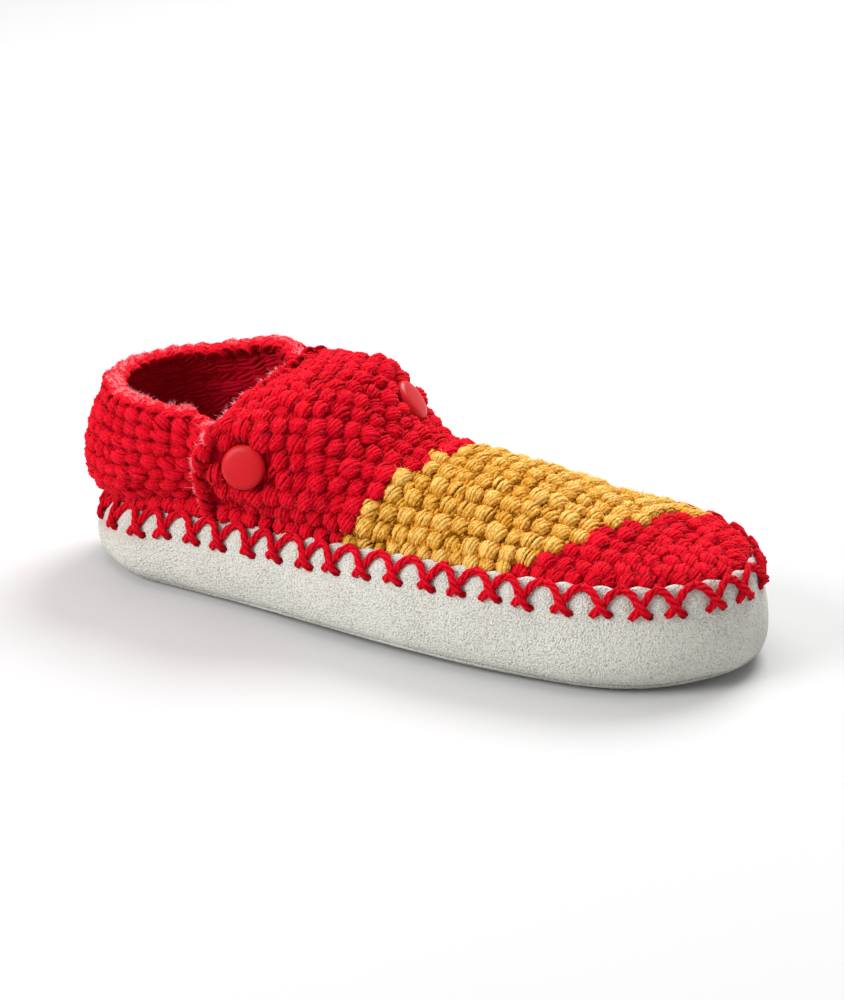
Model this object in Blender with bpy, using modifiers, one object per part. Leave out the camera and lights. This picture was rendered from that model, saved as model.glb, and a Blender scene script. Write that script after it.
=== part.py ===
"""Knit slipper for the right foot: a suede tub sole, a knit front with a wrap-over instep flap, a knit
heel quarter that tucks under the flap, and two snap caps.

Sizes are in millimetres and become metres as each mesh is made. +X points to the toe, -Y to the outer
(lateral) side of the foot and +Z up. The floor is z = 0, and the finished slipper is centred on the
origin.
"""

import math
from collections import namedtuple
from functools import lru_cache

import bmesh
import bpy
import numpy as np
from mathutils import Matrix, Vector
from mathutils.bvhtree import BVHTree

MM = 0.001
COLLECTION = "knit_slipper"

# Driving sizes of the last
LENGTH = 261.0
HEEL_END = -129.0
HEEL_ROUND = 37.0
TOE_ROUND = 54.0
TOE_SWING = 3.0

# Walls and clearances
KNIT_WALL = 4.5
SUEDE_WALL = 2.0
OUTSOLE_WALL = 3.0
INSOLE_WALL = 6.0
GAP = 0.3
LAYER_GAP = 0.8

# Side of the sole
BELLY_HEIGHT = 13.0
FOOT_INSET = 8.0
LIP_INSET = 6.0
RIM_INSET = 12.0
FIELD_INSET = 22.0
EDGE_INSET = LIP_INSET + SUEDE_WALL + GAP
TUCK_DEPTH = 5.0

# Snap caps
SNAP_RADIUS = 8.0
SNAP_HEIGHT = 3.2
SNAP_RIM = 1.1
SNAP_CROWN = 0.4
SNAP_PROBE = 20.0
SEAT_RADIUS = 10.5

# Plan of the sole at its widest height. along runs from heel 0 to toe 1, lip is the height of the suede's
# top edge, seam the height of the seam to the bottom panel, and floor the lift of the underside (arch and
# toe spring).
Plan = namedtuple("Plan", "along lateral medial lip seam floor")
PLAN = (
    Plan(0.00, 34.0, 34.0, 25.5, 2.4, 1.2),
    Plan(0.08, 35.0, 34.5, 27.0, 2.2, 0.0),
    Plan(0.18, 36.8, 35.0, 29.5, 2.6, 0.0),
    Plan(0.30, 39.5, 35.8, 31.0, 3.6, 0.0),
    Plan(0.42, 43.5, 37.8, 33.0, 4.6, 1.0),
    Plan(0.56, 47.3, 42.5, 35.5, 4.8, 0.6),
    Plan(0.68, 48.6, 46.2, 36.5, 4.2, 0.0),
    Plan(0.80, 47.0, 47.2, 36.8, 3.4, 0.0),
    Plan(0.90, 44.5, 45.5, 37.0, 3.4, 0.8),
    Plan(1.00, 39.0, 40.5, 37.0, 6.0, 4.0),
)

# Sections of the knit body. at is the distance along the foot, ridge the height of its top line, tilt how
# much its medial shoulder stands over the lateral one, belly how far the wall swells past its bottom edge,
# rise the height of the belly over that edge, square and crown how boxy the arch is across and up, and sag
# the dip of the top line.
Section = namedtuple("Section", "at ridge tilt belly rise square crown sag")
SECTIONS = (
    Section(-130.0, 85.0, 0.0, 11.5, 12.0, 2.2, 2.0, 0.0),
    Section(-100.0, 84.5, 1.0, 11.0, 14.0, 2.7, 2.3, 0.0),
    Section(-72.0, 80.5, 3.5, 10.5, 22.0, 4.0, 3.0, 3.5),
    Section(-57.0, 80.5, 3.5, 9.5, 23.0, 3.8, 2.9, 3.5),
    Section(-40.0, 83.0, 3.0, 6.5, 20.0, 3.0, 2.5, 0.5),
    Section(-25.0, 83.5, 4.0, 3.5, 15.0, 2.6, 2.2, 0.0),
    Section(-14.0, 78.5, 5.0, 2.0, 10.0, 2.4, 1.9, 0.0),
    Section(-3.0, 68.5, 2.0, 1.0, 6.0, 2.2, 1.5, 0.0),
    Section(6.0, 63.5, 0.0, 0.5, 4.0, 2.1, 1.25, 0.0),
    Section(26.0, 61.3, 0.0, 0.0, 3.0, 2.0, 1.1, 0.0),
    Section(44.0, 58.3, 0.0, 0.0, 2.5, 2.0, 1.05, 0.0),
    Section(67.0, 52.5, 0.0, 0.0, 2.0, 2.0, 1.05, 0.0),
    Section(85.0, 48.0, 0.0, 0.0, 2.0, 2.0, 1.1, 0.0),
    Section(100.0, 44.8, 0.0, 0.0, 2.0, 2.1, 1.2, 0.0),
    Section(112.0, 42.3, 0.0, 0.0, 2.0, 2.2, 1.4, 0.0),
    Section(124.0, 40.0, 0.0, 0.0, 2.0, 2.2, 1.5, 0.0),
)
RIM_STATION = -57.5
FLAP_START = -20.0
FLAP_FRONT = (-30.0, 8.0)

# Back edge of the instep flap. across runs from the lateral edge -1 over the ridge 0 to the medial edge 1.
FlapEdge = namedtuple("FlapEdge", "across at")
FLAP_EDGE = (
    FlapEdge(-1.00, -69.0),
    FlapEdge(-0.72, -67.0),
    FlapEdge(-0.40, -60.0),
    FlapEdge(0.00, -57.5),
    FlapEdge(0.40, -55.0),
    FlapEdge(0.72, -58.0),
    FlapEdge(1.00, -60.0),
)

# Rim of the heel quarter on either side, and how far the wall there has passed under the flap's layer.
Rim = namedtuple("Rim", "at lateral medial lateral_under medial_under")
QUARTER_RIM = (
    Rim(-130.0, 70.0, 70.0, 0.0, 0.0),
    Rim(-100.0, 69.5, 73.0, 0.0, 0.0),
    Rim(-84.0, 69.0, 75.8, 0.35, 0.05),
    Rim(-70.0, 66.5, 78.2, 1.0, 0.4),
    Rim(-62.0, 62.5, 77.0, 1.0, 0.95),
    Rim(-56.0, 60.0, 73.0, 1.0, 1.0),
    Rim(-48.0, 57.0, 68.0, 1.0, 1.0),
    Rim(-36.0, 53.0, 58.0, 1.0, 1.0),
)
QUARTER_FRONT = -36.0
# On the medial side, short of the flap, the collar stands up instead of leaning in with the arch
COLLAR_STAND = 8.0
STAND_START, STAND_END = (-96.0, -82.0), (-66.0, -57.0)

# Snap caps: where each sits along the foot and across the arch, and how deep and wide it pulls the knit in.
Snap = namedtuple("Snap", "name at across dent reach")
SNAPS = (
    Snap("snap_lateral", -46.0, -0.69, 0.8, 9.0),
    Snap("snap_medial", -7.5, 0.21, 3.5, 7.0),
)

# Where the across parameter passes from the top arch to the belly and from there to the tucked edge
ARCH_SHARE = 0.72
TUCK_SHARE = 0.94

# Yarn colour change of the front: where the band starts and ends along the foot, from the lateral edge -1
# to the medial edge 1
Band = namedtuple("Band", "across back front")
BAND = (
    Band(-1.00, -7.0, 60.0),
    Band(-0.50, -1.5, 66.5),
    Band(0.00, 16.0, 87.0),
    Band(0.50, 26.0, 99.0),
    Band(1.00, 30.0, 101.0),
)

# Mesh counts
AROUND = 72
FLAP_ROWS = 5
DROP_ROWS = 12
TOE_ROWS = 30
ARCH_STEPS = 11
BELLY_STEPS = 4
QUARTER_COLUMNS = 33
QUARTER_ROWS = 11
SNAP_SIDES = 24


def smooth_table(rows, key, column, values):
    """Column of a table as a smooth curve through its rows, read at values of the key column."""
    xs = np.array([getattr(row, key) for row in rows], float)
    ys = np.array([getattr(row, column) for row in rows], float)
    secants = np.diff(ys) / np.diff(xs)
    slopes = np.gradient(ys, xs)
    slopes[1:-1][secants[:-1] * secants[1:] <= 0] = 0.0
    values = np.asarray(values, float)
    i = np.clip(np.searchsorted(xs, values) - 1, 0, len(xs) - 2)
    span = xs[i + 1] - xs[i]
    u = np.clip((values - xs[i]) / span, 0.0, 1.0)
    start = (2 * u**3 - 3 * u**2 + 1) * ys[i] + (u**3 - 2 * u**2 + u) * span * slopes[i]
    end = (3 * u**2 - 2 * u**3) * ys[i + 1] + (u**3 - u**2) * span * slopes[i + 1]
    return start + end


def ramp(low, high, value):
    """0 at low, 1 at high, with a smooth start and end."""
    u = np.clip((np.asarray(value, float) - low) / (high - low), 0.0, 1.0)
    return u * u * (3 - 2 * u)


def along_of(at):
    return (np.asarray(at, float) - HEEL_END) / LENGTH


def plan_column(column, at):
    return smooth_table(PLAN, "along", column, along_of(at))


def section_column(column, at):
    return smooth_table(SECTIONS, "at", column, at)


def end_round(distance, length, power):
    """Rounds an end of the plan: 0 at the tip, 1 from length on."""
    u = np.clip(distance / length, 0.0, 1.0)
    return (1 - (1 - u) ** power) ** (1 / power)


def plan_point(turn):
    """Point of the widest outline. turn goes once round: heel 0, lateral side, toe pi, medial side."""
    turn = np.mod(turn, 2 * math.pi)
    along = (1 - np.cos(turn)) / 2
    lateral = smooth_table(PLAN, "along", "lateral", along)
    medial = smooth_table(PLAN, "along", "medial", along)
    width = np.where(turn < math.pi, -lateral, medial)
    width = width * end_round(along * LENGTH, HEEL_ROUND, 2.0)
    width = width * end_round((1 - along) * LENGTH, TOE_ROUND, 2.1)
    centre = TOE_SWING * ramp(0.5, 1.0, along)
    return np.stack([HEEL_END + LENGTH * along, centre + width], -1)


def plan_normal(turn):
    """Outward normal of the plan outline."""
    step = 1e-3
    tangent = plan_point(turn + step) - plan_point(turn - step)
    tangent /= np.linalg.norm(tangent, axis=-1, keepdims=True)
    return np.stack([tangent[..., 1], -tangent[..., 0]], -1)


def plan_inset(turn, inset):
    """Plan outline moved in along its normal."""
    return plan_point(turn) - plan_normal(turn) * np.asarray(inset, float)[..., None]


def side_inset(height, lip):
    """How far the side of the sole lies inside its widest outline: round below, leaning in above."""
    below = FOOT_INSET * np.clip(1 - height / BELLY_HEIGHT, 0, 1) ** 3.2
    above = LIP_INSET * np.clip((height - BELLY_HEIGHT) / (lip - BELLY_HEIGHT), 0, 1) ** 1.9
    return below + above


def toe_centre(at):
    """Y of the middle line, which swings to the medial side towards the toe."""
    return TOE_SWING * ramp(0.5, 1.0, along_of(at))


@lru_cache(maxsize=None)
def edge_outline(depth):
    """Knit's bottom edge behind the suede lip: stations and half widths on each side."""
    turns = np.linspace(0, math.pi, 721)
    sides = {}
    for side, turn in ((-1, turns), (1, 2 * math.pi - turns)):
        points = plan_inset(turn, np.full_like(turn, EDGE_INSET + depth))
        width = np.abs(points[:, 1] - toe_centre(points[:, 0]))
        width[-1] = 0.0
        sides[side] = (points[:, 0], width)
    return sides


def knit_edge(at, side, depth):
    """Half width of the knit's bottom edge at a station."""
    stations, widths = edge_outline(depth)[side]
    return np.interp(at, stations, widths)


def knit_tip(depth):
    """Station where the knit's bottom edge closes round the toe."""
    return float(edge_outline(depth)[-1][0][-1])


def body_point(at, across, depth=0.0):
    """Point of the knit body's surface, depth inside its outer face."""
    at, across = np.broadcast_arrays(np.asarray(at, float), np.asarray(across, float))
    side = np.where(across < 0, -1.0, 1.0)
    share = np.abs(across)
    centre = toe_centre(at)
    edge = np.where(side < 0, knit_edge(at, -1, depth), knit_edge(at, 1, depth))
    belly = edge + section_column("belly", at) * ramp(0.0, 12.0, edge)
    lip = plan_column("lip", at) + 0.5
    low = lip - 0.5 - TUCK_DEPTH
    middle = lip + section_column("rise", at)
    top = np.maximum(section_column("ridge", at) - depth, middle)
    square = section_column("square", at)
    crown = section_column("crown", at)

    angle = np.clip(share / ARCH_SHARE, 0, 1) * math.pi / 2
    arch_y = belly * np.sin(angle) ** (2 / square)
    arch_z = middle + (top - middle) * np.cos(angle) ** (2 / crown)
    arch_z = arch_z - section_column("sag", at) * np.cos(angle) ** 2
    arch_z = arch_z + section_column("tilt", at) * side * np.sin(2 * angle)

    down = np.clip((share - ARCH_SHARE) / (TUCK_SHARE - ARCH_SHARE), 0, 1)
    side_y = edge + (belly - edge) * np.cos(down * math.pi / 2)
    side_z = middle + (lip - middle) * down
    tuck = np.clip((share - TUCK_SHARE) / (1 - TUCK_SHARE), 0, 1)

    y = np.where(share <= ARCH_SHARE, arch_y, side_y)
    z = np.where(share <= ARCH_SHARE, arch_z, side_z + (low - lip) * tuck)
    return np.stack([at, centre + side * y, z], -1)


def grid_faces(rows, columns, closed_rows=False, closed_columns=False):
    """Quads of a grid of points stored row by row."""
    faces = []
    for i in range(rows if closed_rows else rows - 1):
        for j in range(columns if closed_columns else columns - 1):
            a, b = i * columns + j, i * columns + (j + 1) % columns
            c, d = ((i + 1) % rows) * columns + (j + 1) % columns, ((i + 1) % rows) * columns + j
            faces.append((a, b, c, d))
    return faces


def material(name, colour, roughness):
    made = bpy.data.materials.new(name)
    made.use_nodes = True
    shader = made.node_tree.nodes["Principled BSDF"]
    shader.inputs["Base Color"].default_value = (*colour, 1.0)
    shader.inputs["Roughness"].default_value = roughness
    shader.inputs["Metallic"].default_value = 0.0
    return made


def solid(name, points, faces, materials):
    """One closed mesh object from points in millimetres, with doubles welded and faces pointing out."""
    mesh = bpy.data.meshes.new(name)
    mesh.from_pydata((np.asarray(points).reshape(-1, 3) * MM).tolist(), [], faces)
    for made in materials:
        mesh.materials.append(made)
    shape = bmesh.new()
    shape.from_mesh(mesh)
    bmesh.ops.remove_doubles(shape, verts=shape.verts, dist=0.00002)
    bmesh.ops.recalc_face_normals(shape, faces=shape.faces)
    shape.to_mesh(mesh)
    shape.free()
    mesh.shade_smooth()
    mesh.set_sharp_from_angle(angle=math.radians(40))
    made = bpy.data.objects.new(name, mesh)
    bpy.data.collections[COLLECTION].objects.link(made)
    return made


def shell_between(name, outer, inner, materials, pointed=False):
    """Wall between two grids of the same size, closed along its borders. A pointed one ends in a tip."""
    rows, columns = outer.shape[:2]
    count = rows * columns
    faces = list(grid_faces(rows, columns))
    faces += [tuple(count + v for v in reversed(face)) for face in grid_faces(rows, columns)]
    border = [(0, j) for j in range(columns - 1)]
    border += [(i, columns - 1) for i in range(rows - 1)]
    border += [(rows - 1, j) for j in range(columns - 1, 0, -1)]
    border += [(i, 0) for i in range(rows - 1, 0, -1)]
    loop = [i * columns + j for i, j in border]
    for a, b in zip(loop, loop[1:] + loop[:1]):
        if pointed and min(a, b) >= count - columns:
            continue
        faces.append((b, a, count + a, count + b))
    return solid(name, np.concatenate([outer.reshape(-1, 3), inner.reshape(-1, 3)]), faces, materials)


def swept_ring(name, profile, materials):
    """Solid whose closed profile runs round the plan: profile[i][j] is point j of the profile at turn i."""
    rows, columns = profile.shape[:2]
    faces = grid_faces(rows, columns, closed_rows=True, closed_columns=True)
    return solid(name, profile, faces, materials)


def ring_points(turn, inset, height):
    flat = plan_inset(turn, np.broadcast_to(inset, turn.shape))
    return np.concatenate([flat, np.broadcast_to(height, turn.shape)[..., None]], -1)


def turns_round():
    return np.linspace(0, 2 * math.pi, AROUND, endpoint=False)


def at_turn(turn):
    return plan_point(turn)[..., 0]


def build_sidewall(suede):
    """Suede wall of the tub: from the bottom seam round the belly to the lip that leans in."""
    turn = turns_round()
    lip, seam = plan_column("lip", at_turn(turn)), plan_column("seam", at_turn(turn))
    shares = (0.0, 0.10, 0.22, 0.36, 0.52, 0.68, 0.84, 1.0)
    loop = []
    for s in shares:
        height = seam + (lip - seam) * s
        loop.append(ring_points(turn, side_inset(height, lip), height))
    for s in (1.0, 0.8, 0.5, 0.22, 0.1, 0.0):
        height = seam + (lip - seam) * s
        loop.append(ring_points(turn, side_inset(height, lip) + SUEDE_WALL, height))
    return swept_ring("sole_sidewall", np.stack(loop, 1), [suede])


def panel_ring(turn, inset, height_of, lift=0.0):
    """Ring of the plan whose height follows a surface over the stations it really passes."""
    flat = plan_inset(turn, np.broadcast_to(inset, turn.shape))
    return np.concatenate([flat, (height_of(flat[:, 0]) + lift)[:, None]], -1)


def underside(at):
    return plan_column("floor", at)


def panel_top(at):
    """Top face of the bottom panel, never below its turned-up rim."""
    return np.maximum(plan_column("floor", at) + OUTSOLE_WALL, plan_column("seam", at) - GAP - 0.2)


def panel_solid(name, rings, materials):
    """Sole-shaped panel through rings from its top's middle, over its rim, to its underside's middle."""
    columns = len(rings[0])
    faces = grid_faces(len(rings), columns, closed_columns=True)
    for start in (0, (len(rings) - 1) * columns):
        for j in range(columns // 2):
            across = (start + j, start + j + 1, start + columns - j - 1, start + (columns - j) % columns)
            faces.append(tuple(dict.fromkeys(across)))
    return solid(name, np.concatenate(rings), faces, materials)


def build_outsole(suede):
    """Suede bottom panel: flat under heel and forefoot, lifted at arch and toe, its rim turned up."""
    turn = turns_round()
    lip, seam = plan_column("lip", at_turn(turn)), plan_column("seam", at_turn(turn)) - GAP
    half = (seam + plan_column("floor", at_turn(turn))) / 2
    rings = [
        panel_ring(turn, FIELD_INSET, panel_top),
        panel_ring(turn, RIM_INSET, panel_top),
        ring_points(turn, side_inset(seam, lip) + SUEDE_WALL, seam),
        ring_points(turn, side_inset(seam, lip), seam),
        ring_points(turn, side_inset(half, lip), half),
        panel_ring(turn, FOOT_INSET - 1.0, underside, 0.25),
        panel_ring(turn, FOOT_INSET + 2.0, underside),
        panel_ring(turn, FIELD_INSET, underside),
    ]
    return panel_solid("outsole", rings, [suede])


def build_insole(felt):
    """Footbed: lies on the bottom panel and reaches to the inside of the sidewall."""
    turn = turns_round()
    lip, low = plan_column("lip", at_turn(turn)), panel_top(at_turn(turn)) + GAP
    high = low + INSOLE_WALL
    wall = np.maximum(side_inset(low + 1.0, lip), side_inset(high - 1.0, lip)) + SUEDE_WALL + LAYER_GAP
    rings = [
        panel_ring(turn, FIELD_INSET, panel_top, GAP + INSOLE_WALL),
        panel_ring(turn, wall + 1.2, panel_top, GAP + INSOLE_WALL),
        ring_points(turn, wall, high - 1.0),
        ring_points(turn, wall, low + 1.0),
        panel_ring(turn, RIM_INSET, panel_top, GAP),
        panel_ring(turn, FIELD_INSET, panel_top, GAP),
    ]
    return panel_solid("insole", rings, [felt])


def front_grid(depth):
    """Points of the front, a depth inside its outer face: rows from the flap's back edge to the toe."""
    tip = knit_tip(depth)
    flap = np.linspace(RIM_STATION, FLAP_FRONT[0], FLAP_ROWS, endpoint=False)
    drop = np.linspace(FLAP_FRONT[0], FLAP_FRONT[1], DROP_ROWS, endpoint=False)
    toe = FLAP_FRONT[1] + (tip - FLAP_FRONT[1]) * (1 - (1 - np.linspace(0, 1, TOE_ROWS)) ** 1.6)
    stations = np.concatenate([flap, drop, toe])
    arch = np.linspace(0, ARCH_SHARE, ARCH_STEPS)
    belly = np.linspace(ARCH_SHARE, TUCK_SHARE, BELLY_STEPS + 1)[1:]
    half = np.concatenate([arch, belly, [1.0]])
    across = np.concatenate([-half[:0:-1], half])
    at, across = np.meshgrid(stations, across, indexing="ij")
    back = smooth_table(FLAP_EDGE, "across", "at", across) - RIM_STATION
    at = at + back * (1 - ramp(RIM_STATION, FLAP_START, at))
    return dimpled(body_point(at, across, depth), depth), at, across


def snap_frame(snap):
    """Seat of a snap cap on the undented outer face, and the face's outward normal there."""
    step = 0.5
    seat = body_point(snap.at, snap.across)
    lengthwise = body_point(snap.at + step, snap.across) - body_point(snap.at - step, snap.across)
    crosswise = body_point(snap.at, snap.across + 0.02) - body_point(snap.at, snap.across - 0.02)
    normal = np.cross(lengthwise, crosswise)
    return seat, normal / np.linalg.norm(normal)


def dimpled(points, depth):
    """Pulls a layer of knit, depth inside the outer face, into a flat seat under each snap."""
    for snap in SNAPS:
        seat, normal = snap_frame(snap)
        away = points - seat
        height = away @ normal
        radius = np.linalg.norm(away - height[..., None] * normal, axis=-1)
        pull = 1 - ramp(SEAT_RADIUS, SEAT_RADIUS + snap.reach, radius)
        pull = pull * (1 - ramp(14.0, 24.0, np.abs(height + depth)))
        points = points - normal * (pull * (height + snap.dent + depth))[..., None]
    return points


def build_front(red, mustard):
    """Vamp, toe and wrap-over flap, knitted whole as one wall open underneath and at the collar."""
    outer, at, across = front_grid(0.0)
    inner, _, _ = front_grid(KNIT_WALL)
    front = shell_between("upper_front", outer, inner, [red, mustard], pointed=True)
    back = smooth_table(BAND, "across", "back", across)
    ahead = smooth_table(BAND, "across", "front", across)
    banded = ((at > back) & (at < ahead)).reshape(-1)
    places = outer.reshape(-1, 3) * MM
    for face in front.data.polygons:
        nearest = np.argmin(np.linalg.norm(places - np.array(face.center), axis=1))
        face.material_index = int(banded[nearest])
    return front


def quarter_grid(depth):
    """Points of the heel quarter: columns from its medial front end round the heel to the lateral one."""
    turn_front = math.acos(1 - 2 * float(along_of(QUARTER_FRONT)))
    turn = np.linspace(-turn_front, turn_front, QUARTER_COLUMNS)
    at = at_turn(turn)
    lateral = np.mod(turn, 2 * math.pi) < math.pi
    rim, under = [
        np.where(
            lateral,
            smooth_table(QUARTER_RIM, "at", "lateral" + column, at),
            smooth_table(QUARTER_RIM, "at", "medial" + column, at),
        )
        for column in ("", "_under")
    ]
    under = under * (KNIT_WALL + LAYER_GAP)
    inset = EDGE_INSET + under + depth
    base, normal = plan_inset(turn, inset), plan_normal(turn)
    lip = plan_column("lip", at) + 0.5
    low = lip - 0.5 - TUCK_DEPTH
    middle = lip + section_column("rise", at)
    belly = section_column("belly", at)
    reach = knit_edge(np.maximum(at, -92.0), -1, 0.0) + belly - under
    top = section_column("ridge", at) + np.where(lateral, -1.0, 1.0) * section_column("tilt", at) - under
    stands = ramp(*STAND_START, at) * (1 - ramp(*STAND_END, at))
    top = top + np.where(lateral, 0.0, COLLAR_STAND * stands)
    square, crown = section_column("square", at), section_column("crown", at)
    rows = [np.concatenate([base, low[:, None]], -1)]
    for share in np.linspace(0, 1, QUARTER_ROWS):
        height = lip + (rim - lip) * share
        up = np.clip((height - middle) / (top - middle), 0, 0.999)
        lean = reach * (1 - (1 - up**crown) ** (1 / square))
        down = np.clip((middle - height) / (middle - lip), 0, 1)
        out = belly * np.cos(down * math.pi / 2) - lean
        rows.append(np.concatenate([base + normal * out[:, None], height[:, None]], -1))
    return dimpled(np.stack(rows, 0), KNIT_WALL + LAYER_GAP + depth)


def build_quarter(red):
    """Knit band round the heel, its two ends tucked under the instep flap."""
    return shell_between("upper_heel_quarter", quarter_grid(0.0), quarter_grid(KNIT_WALL), [red])


def build_snap(snap, front, plastic):
    """Domed cap of a snap fastener, turned about its axis and seated on the knit."""
    shoulder = SNAP_HEIGHT - SNAP_RIM - SNAP_CROWN
    profile = [(0.0, SNAP_HEIGHT), (SNAP_RADIUS * 0.6, SNAP_HEIGHT - SNAP_CROWN * 0.4)]
    for step in range(5):
        angle = math.radians(90 - 22.5 * step)
        out, up = SNAP_RIM * math.cos(angle), SNAP_RIM * math.sin(angle)
        profile.append((SNAP_RADIUS - SNAP_RIM + out, shoulder + up))
    profile += [(SNAP_RADIUS, SNAP_RIM * 0.6), (SNAP_RADIUS - SNAP_RIM * 0.6, 0.0), (0.0, 0.0)]
    mesh = bpy.data.meshes.new(snap.name)
    links = [(i, i + 1) for i in range(len(profile) - 1)]
    mesh.from_pydata([(r * MM, 0.0, z * MM) for r, z in profile], links, [])
    mesh.materials.append(plastic)
    cap = bpy.data.objects.new(snap.name, mesh)
    bpy.data.collections[COLLECTION].objects.link(cap)
    turn = cap.modifiers.new("turned", "SCREW")
    turn.axis = "Z"
    turn.steps = SNAP_SIDES
    turn.render_steps = SNAP_SIDES
    turn.use_merge_vertices = True
    turn.merge_threshold = 0.00005
    seat, normal = snap_frame(snap)
    lift = snap_lift(front, seat, normal) + GAP
    cap.location = Vector(seat + normal * lift) * MM
    cap.rotation_mode = "QUATERNION"
    cap.rotation_quaternion = Vector(normal).to_track_quat("Z", "Y")
    return cap


def snap_lift(front, seat, normal):
    """Height of the front's highest point under a snap cap, along the normal of its seat."""
    tree = BVHTree.FromPolygons(
        [vert.co for vert in front.data.vertices], [list(face.vertices) for face in front.data.polygons]
    )
    up = Vector(normal)
    side = up.orthogonal().normalized()
    start = Vector(seat) * MM + up * SNAP_PROBE * MM
    nearest = math.inf
    for ring in range(5):
        for step in range(24):
            arm = Matrix.Rotation(math.tau * step / 24, 3, up) @ side * (SNAP_RADIUS * MM * ring / 4)
            nearest = min(nearest, tree.ray_cast(start + arm, -up)[3])
    return SNAP_PROBE - nearest / MM


def clear_scene():
    for obj in list(bpy.data.objects):
        bpy.data.objects.remove(obj, do_unlink=True)
    for group in list(bpy.data.collections):
        bpy.data.collections.remove(group)
    group = bpy.data.collections.new(COLLECTION)
    bpy.context.scene.collection.children.link(group)
    return group


def centre_on_origin(group):
    """Stands the slipper on z = 0 over the origin, with all its pieces under one empty."""
    bpy.context.view_layer.update()
    graph = bpy.context.evaluated_depsgraph_get()
    corners = []
    for obj in group.objects:
        shown = obj.evaluated_get(graph)
        corners += [obj.matrix_world @ Vector(corner) for corner in shown.bound_box]
    low = Vector([min(c[i] for c in corners) for i in range(3)])
    high = Vector([max(c[i] for c in corners) for i in range(3)])
    base = bpy.data.objects.new("slipper_base", None)
    group.objects.link(base)
    base.location = -Vector(((low.x + high.x) / 2, (low.y + high.y) / 2, low.z))
    for obj in group.objects:
        if obj is not base:
            obj.parent = base
    print("box in mm", [round(v * 1000, 2) for v in (*low, *high)])
    print("base in mm", [round(v * 1000, 3) for v in base.location])


def main():
    group = clear_scene()
    red = material("knit_red", (0.62, 0.006, 0.022), 0.9)
    mustard = material("knit_mustard", (0.72, 0.36, 0.025), 0.9)
    suede = material("suede_grey", (0.62, 0.61, 0.56), 0.95)
    felt = material("insole_felt", (0.42, 0.40, 0.37), 0.95)
    plastic = material("snap_plastic", (0.66, 0.035, 0.035), 0.4)
    build_outsole(suede)
    build_sidewall(suede)
    build_insole(felt)
    front = build_front(red, mustard)
    build_quarter(red)
    for snap in SNAPS:
        build_snap(snap, front, plastic)
    centre_on_origin(group)


main()
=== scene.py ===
# %% [markdown]
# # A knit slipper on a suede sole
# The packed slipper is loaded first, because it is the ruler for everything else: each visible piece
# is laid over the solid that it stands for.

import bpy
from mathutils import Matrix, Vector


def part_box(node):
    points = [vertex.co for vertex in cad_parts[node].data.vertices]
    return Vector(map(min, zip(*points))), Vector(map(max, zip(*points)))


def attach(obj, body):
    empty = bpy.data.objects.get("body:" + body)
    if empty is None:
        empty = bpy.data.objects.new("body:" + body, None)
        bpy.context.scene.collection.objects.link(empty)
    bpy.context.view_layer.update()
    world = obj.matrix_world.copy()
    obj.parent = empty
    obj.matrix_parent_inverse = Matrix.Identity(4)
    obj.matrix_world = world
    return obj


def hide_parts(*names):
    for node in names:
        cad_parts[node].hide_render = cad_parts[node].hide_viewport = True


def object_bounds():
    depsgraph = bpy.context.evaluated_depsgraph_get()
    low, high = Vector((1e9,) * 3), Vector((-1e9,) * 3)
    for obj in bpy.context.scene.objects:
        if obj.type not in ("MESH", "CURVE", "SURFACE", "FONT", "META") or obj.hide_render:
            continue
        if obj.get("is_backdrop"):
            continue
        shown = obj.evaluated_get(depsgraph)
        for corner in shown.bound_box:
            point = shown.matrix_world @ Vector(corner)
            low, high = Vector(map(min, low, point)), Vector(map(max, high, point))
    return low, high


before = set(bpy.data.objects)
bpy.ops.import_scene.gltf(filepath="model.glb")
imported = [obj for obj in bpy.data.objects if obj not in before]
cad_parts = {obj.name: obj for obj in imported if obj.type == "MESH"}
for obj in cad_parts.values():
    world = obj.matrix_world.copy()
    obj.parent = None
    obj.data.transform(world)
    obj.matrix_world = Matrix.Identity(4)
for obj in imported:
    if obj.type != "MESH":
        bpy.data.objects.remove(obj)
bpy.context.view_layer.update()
print("nodes", sorted(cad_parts))

# %% [markdown]
# Sizes are millimetres in the slipper's own drawing: x runs from heel to toe, y from the outer to the
# inner side. Blender counts in metres, and packing has centred the slipper's box, so a small shift and a
# scale take a drawn point to its place. Every random choice comes from one seeded generator, so each run
# knits the same slipper.

# %% Tools and units
import math
from collections import namedtuple
from functools import lru_cache

import bmesh
import bpy
import numpy as np
from mathutils import Vector

MM = 0.001
ROW_SHIFT = np.array([0.087, -0.585, 0.0])
rng = np.random.default_rng(41)

# %% [markdown]
# The camera stands where the photograph was taken from: about a metre off, low, in front of the outer
# side. A long lens keeps the toe from looking larger than the heel.

# %% Camera
CAMERA_TURN = math.radians(28.5)
CAMERA_RISE = math.radians(21.5)
CAMERA_AWAY = 1100.0
CAMERA_AIM = (-8.41, 20.92, 30.0)
CAMERA_LENS, CAMERA_SENSOR = 109.3, 36.0
back = Vector((
    math.sin(CAMERA_TURN) * math.cos(CAMERA_RISE),
    -math.cos(CAMERA_TURN) * math.cos(CAMERA_RISE),
    math.sin(CAMERA_RISE),
))
camera = bpy.data.objects.new("camera", bpy.data.cameras.new("camera"))
bpy.context.scene.collection.objects.link(camera)
camera.data.lens = CAMERA_LENS
camera.data.sensor_width = CAMERA_SENSOR
camera.location = (Vector(CAMERA_AIM) + back * CAMERA_AWAY) * MM
camera.rotation_mode = "QUATERNION"
camera.rotation_quaternion = (-back).to_track_quat("-Z", "Y")
bpy.context.scene.camera = camera
print("camera at", [round(v, 3) for v in camera.location])

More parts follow.
